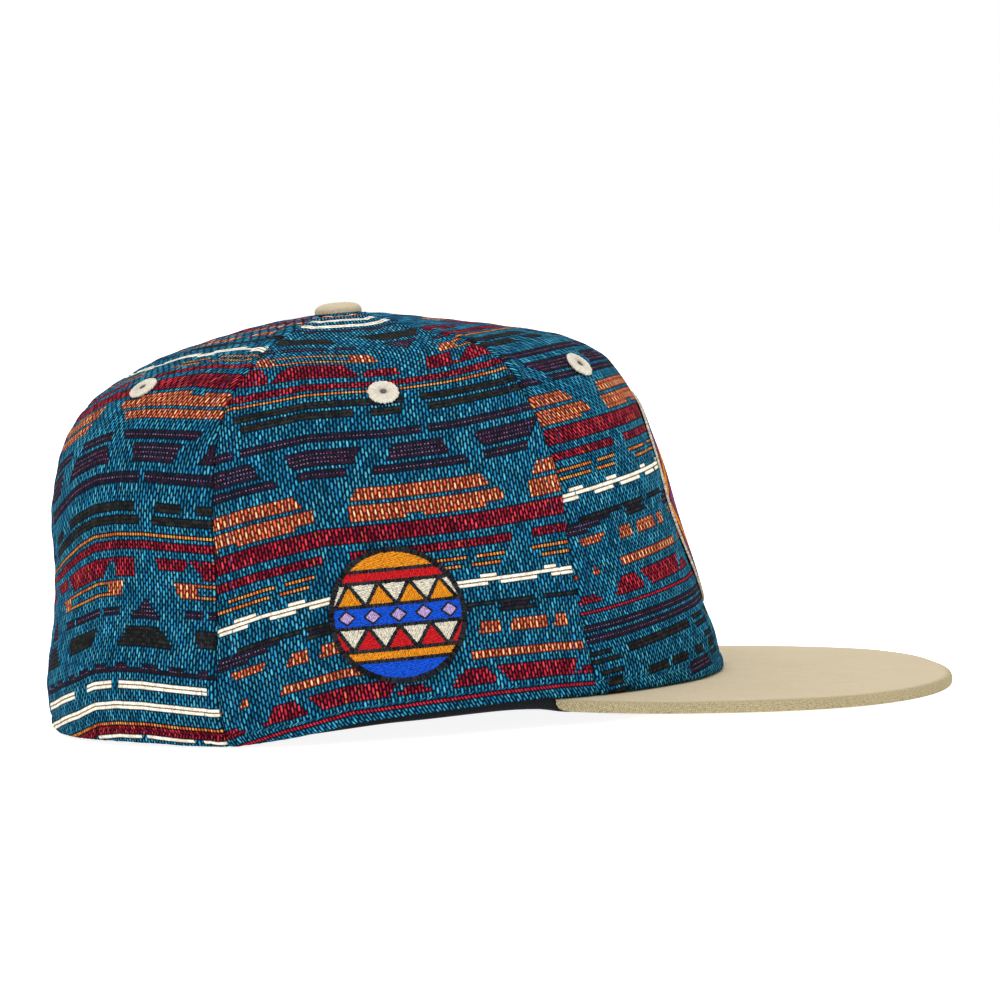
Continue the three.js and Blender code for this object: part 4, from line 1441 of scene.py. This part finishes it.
def patchPiece(name, patch, filling, cords, slot):
    parts = [patchGround(name, patch, filling)]
    for pathX, pathY, width in cords:
        parts.append(cordStrip(patch, pathX, pathY, width, patch["cordHigh"], patch["wall"] - 0.3, "black"))
    ring = outlinePoint(patch, np.linspace(0, 2 * math.pi, 361), patch["border"] / 2)
    parts.append(cordStrip(patch, *ring, patch["border"], patch["borderHigh"], 0.0, patch["borderThread"],
                           closed=True))
    only(parts[0])
    for part in parts:
        part.select_set(True)
    bpy.ops.object.join()
    whole = bpy.context.object
    weldUp(whole, 0.000004)
    faceOut(whole)
    handIn(whole, slot, name, material="thread")
    whole.name = name + "_embroidery"
    print("cap:", whole.name, len(whole.data.polygons), "faces")


def levelCord(y):
    half = math.sqrt(17.6 ** 2 - y * y)
    return (-half, half), (y, y), sidePatch["cord"]


def zigzagCord(base, height):
    corners = np.arange(-21, 21.01, sidePatch["points"][0] / 2)
    x = np.linspace(corners[0], corners[-1], 400)
    y = np.interp(x, corners, base + height * (np.arange(len(corners)) % 2))
    inside = x ** 2 + y ** 2 < 17.4 ** 2
    return x[inside], y[inside], sidePatch["cord"]


def lozengeCord(x, wide, high):
    return (x - wide, x, x + wide, x, x - wide), (0, high, 0, -high, 0), 0.6


sideCords = [levelCord(y) for y in sidePatch["lines"]]
sideCords += [zigzagCord(-9.4, sidePatch["points"][1]), zigzagCord(9.4, -sidePatch["points"][1])]
sideCords += [lozengeCord(x, 2.3, 2.0) for x in sidePatch["lozenges"]]
patchPiece("side_patch", sidePatch, sideFilling, sideCords, "side_embroidery")
patchPiece("front_patch", frontPatch, frontFilling, [], "front_embroidery")


# Studio: a pale floor, a white surround, soft lights, and the camera at the photograph's angle.
studio = {
    "azimuth": 7.2, "elevation": 3.8, "roll": 4.9, "distance": 1100, "right": 34.43, "up": 48.8,
    "lens": 132.26, "shiftUp": 0.027,
    "floorGlow": 0.9, "floorBounce": 0.36, "sky": 1.05, "ground": 0.72, "skyFrom": 0.8,
    "lamps": {
        "keyLamp": {"at": (-0.5, -1.6, 1.5), "size": 1.2, "watts": 9},
        "topLamp": {"at": (0.3, 0.1, 2.0), "size": 1.6, "watts": 12},
        "rearLamp": {"at": (0.2, 1.8, 1.2), "size": 1.4, "watts": 4},
    },
}


def inScene(name, data):
    made = bpy.data.objects.new(name, data)
    bpy.context.scene.collection.objects.link(made)
    return made


def studioCamera():
    azimuth, elevation, roll = (math.radians(studio[k]) for k in ("azimuth", "elevation", "roll"))
    towards = np.array([math.sin(azimuth), math.cos(azimuth), 0])
    level = np.array([math.cos(azimuth), -math.sin(azimuth), 0])
    upwards = np.array([0, 0, 1])
    upright = towards * math.sin(elevation) + upwards * math.cos(elevation)
    toCamera = upwards * math.sin(elevation) - towards * math.cos(elevation)
    right = math.cos(roll) * level - math.sin(roll) * upright
    up = math.sin(roll) * level + math.cos(roll) * upright
    place = placed(right * studio["right"] + up * studio["up"] + toCamera * studio["distance"])
    data = bpy.data.cameras.new("studioCamera")
    data.lens, data.sensor_width, data.shift_y = studio["lens"], 36, studio["shiftUp"]
    matrix = Matrix(turned([right, up, toCamera]).T.tolist()).to_4x4()
    matrix.translation = Vector(place)
    camera = inScene("studioCamera", data)
    camera.matrix_world = matrix
    bpy.context.scene.camera = camera


def studioFloor():
    bpy.ops.mesh.primitive_circle_add(vertices=96, radius=40, fill_type="NGON")
    floor = bpy.context.object
    floor.name = "floor"
    material, p = newMaterial("palePaper", specular=0.5)
    grain = p.noise(p.node("ShaderNodeTexCoord", {}, {}, "Object"), 30, 3.0)
    tone = 0.9 + grain * 0.02
    finish(p, p.joined(tone, tone, tone), 0.85 + grain * 0.1, grain, 0.0005, 0.1)
    # The floor glows for the camera, and casts less of that light on the cap.
    seen = p.node("ShaderNodeLightPath", {}, {}, "Is Camera Ray")
    glow = seen * (studio["floorGlow"] - studio["floorBounce"]) + studio["floorBounce"]
    p.link(p.joined(glow, glow, glow), "Principled BSDF", "Emission Color")
    material.node_tree.nodes["Principled BSDF"].inputs["Emission Strength"].default_value = 1
    floor.data.materials.append(material)


def studioLight():
    # The camera sees pure white; the light on the cap comes more from above than from the sides.
    world = bpy.data.worlds.new("softSurround")
    bpy.context.scene.world = world
    world.use_nodes = True
    p = Paint(world.node_tree)
    x, y, z = p.split(p.node("ShaderNodeTexCoord", {}, {}, "Generated"))
    limits = {"Value": z, "From Min": 0, "From Max": studio["skyFrom"], "To Min": studio["ground"],
              "To Max": studio["sky"]}
    light = p.node("ShaderNodeBackground", {}, {"Strength": p.node("ShaderNodeMapRange", {}, limits)})
    seen = p.node("ShaderNodeBackground", {}, {"Color": (1, 1, 1, 1)})
    cameraRay = p.node("ShaderNodeLightPath", {}, {}, "Is Camera Ray")
    p.link(p.node("ShaderNodeMixShader", {}, {0: cameraRay, 1: light, 2: seen}), "World Output", "Surface")
    for name, lamp in studio["lamps"].items():
        data = bpy.data.lights.new(name, "AREA")
        data.energy, data.size = lamp["watts"], lamp["size"]
        holder = inScene(name, data)
        holder.location = lamp["at"]
        holder.rotation_mode = "QUATERNION"
        holder.rotation_quaternion = (Vector((0, 0, 0.05)) - Vector(lamp["at"])).to_track_quat("-Z", "Y")
    bpy.context.scene.view_settings.view_transform = "Standard"


studioCamera()
studioFloor()
studioLight()
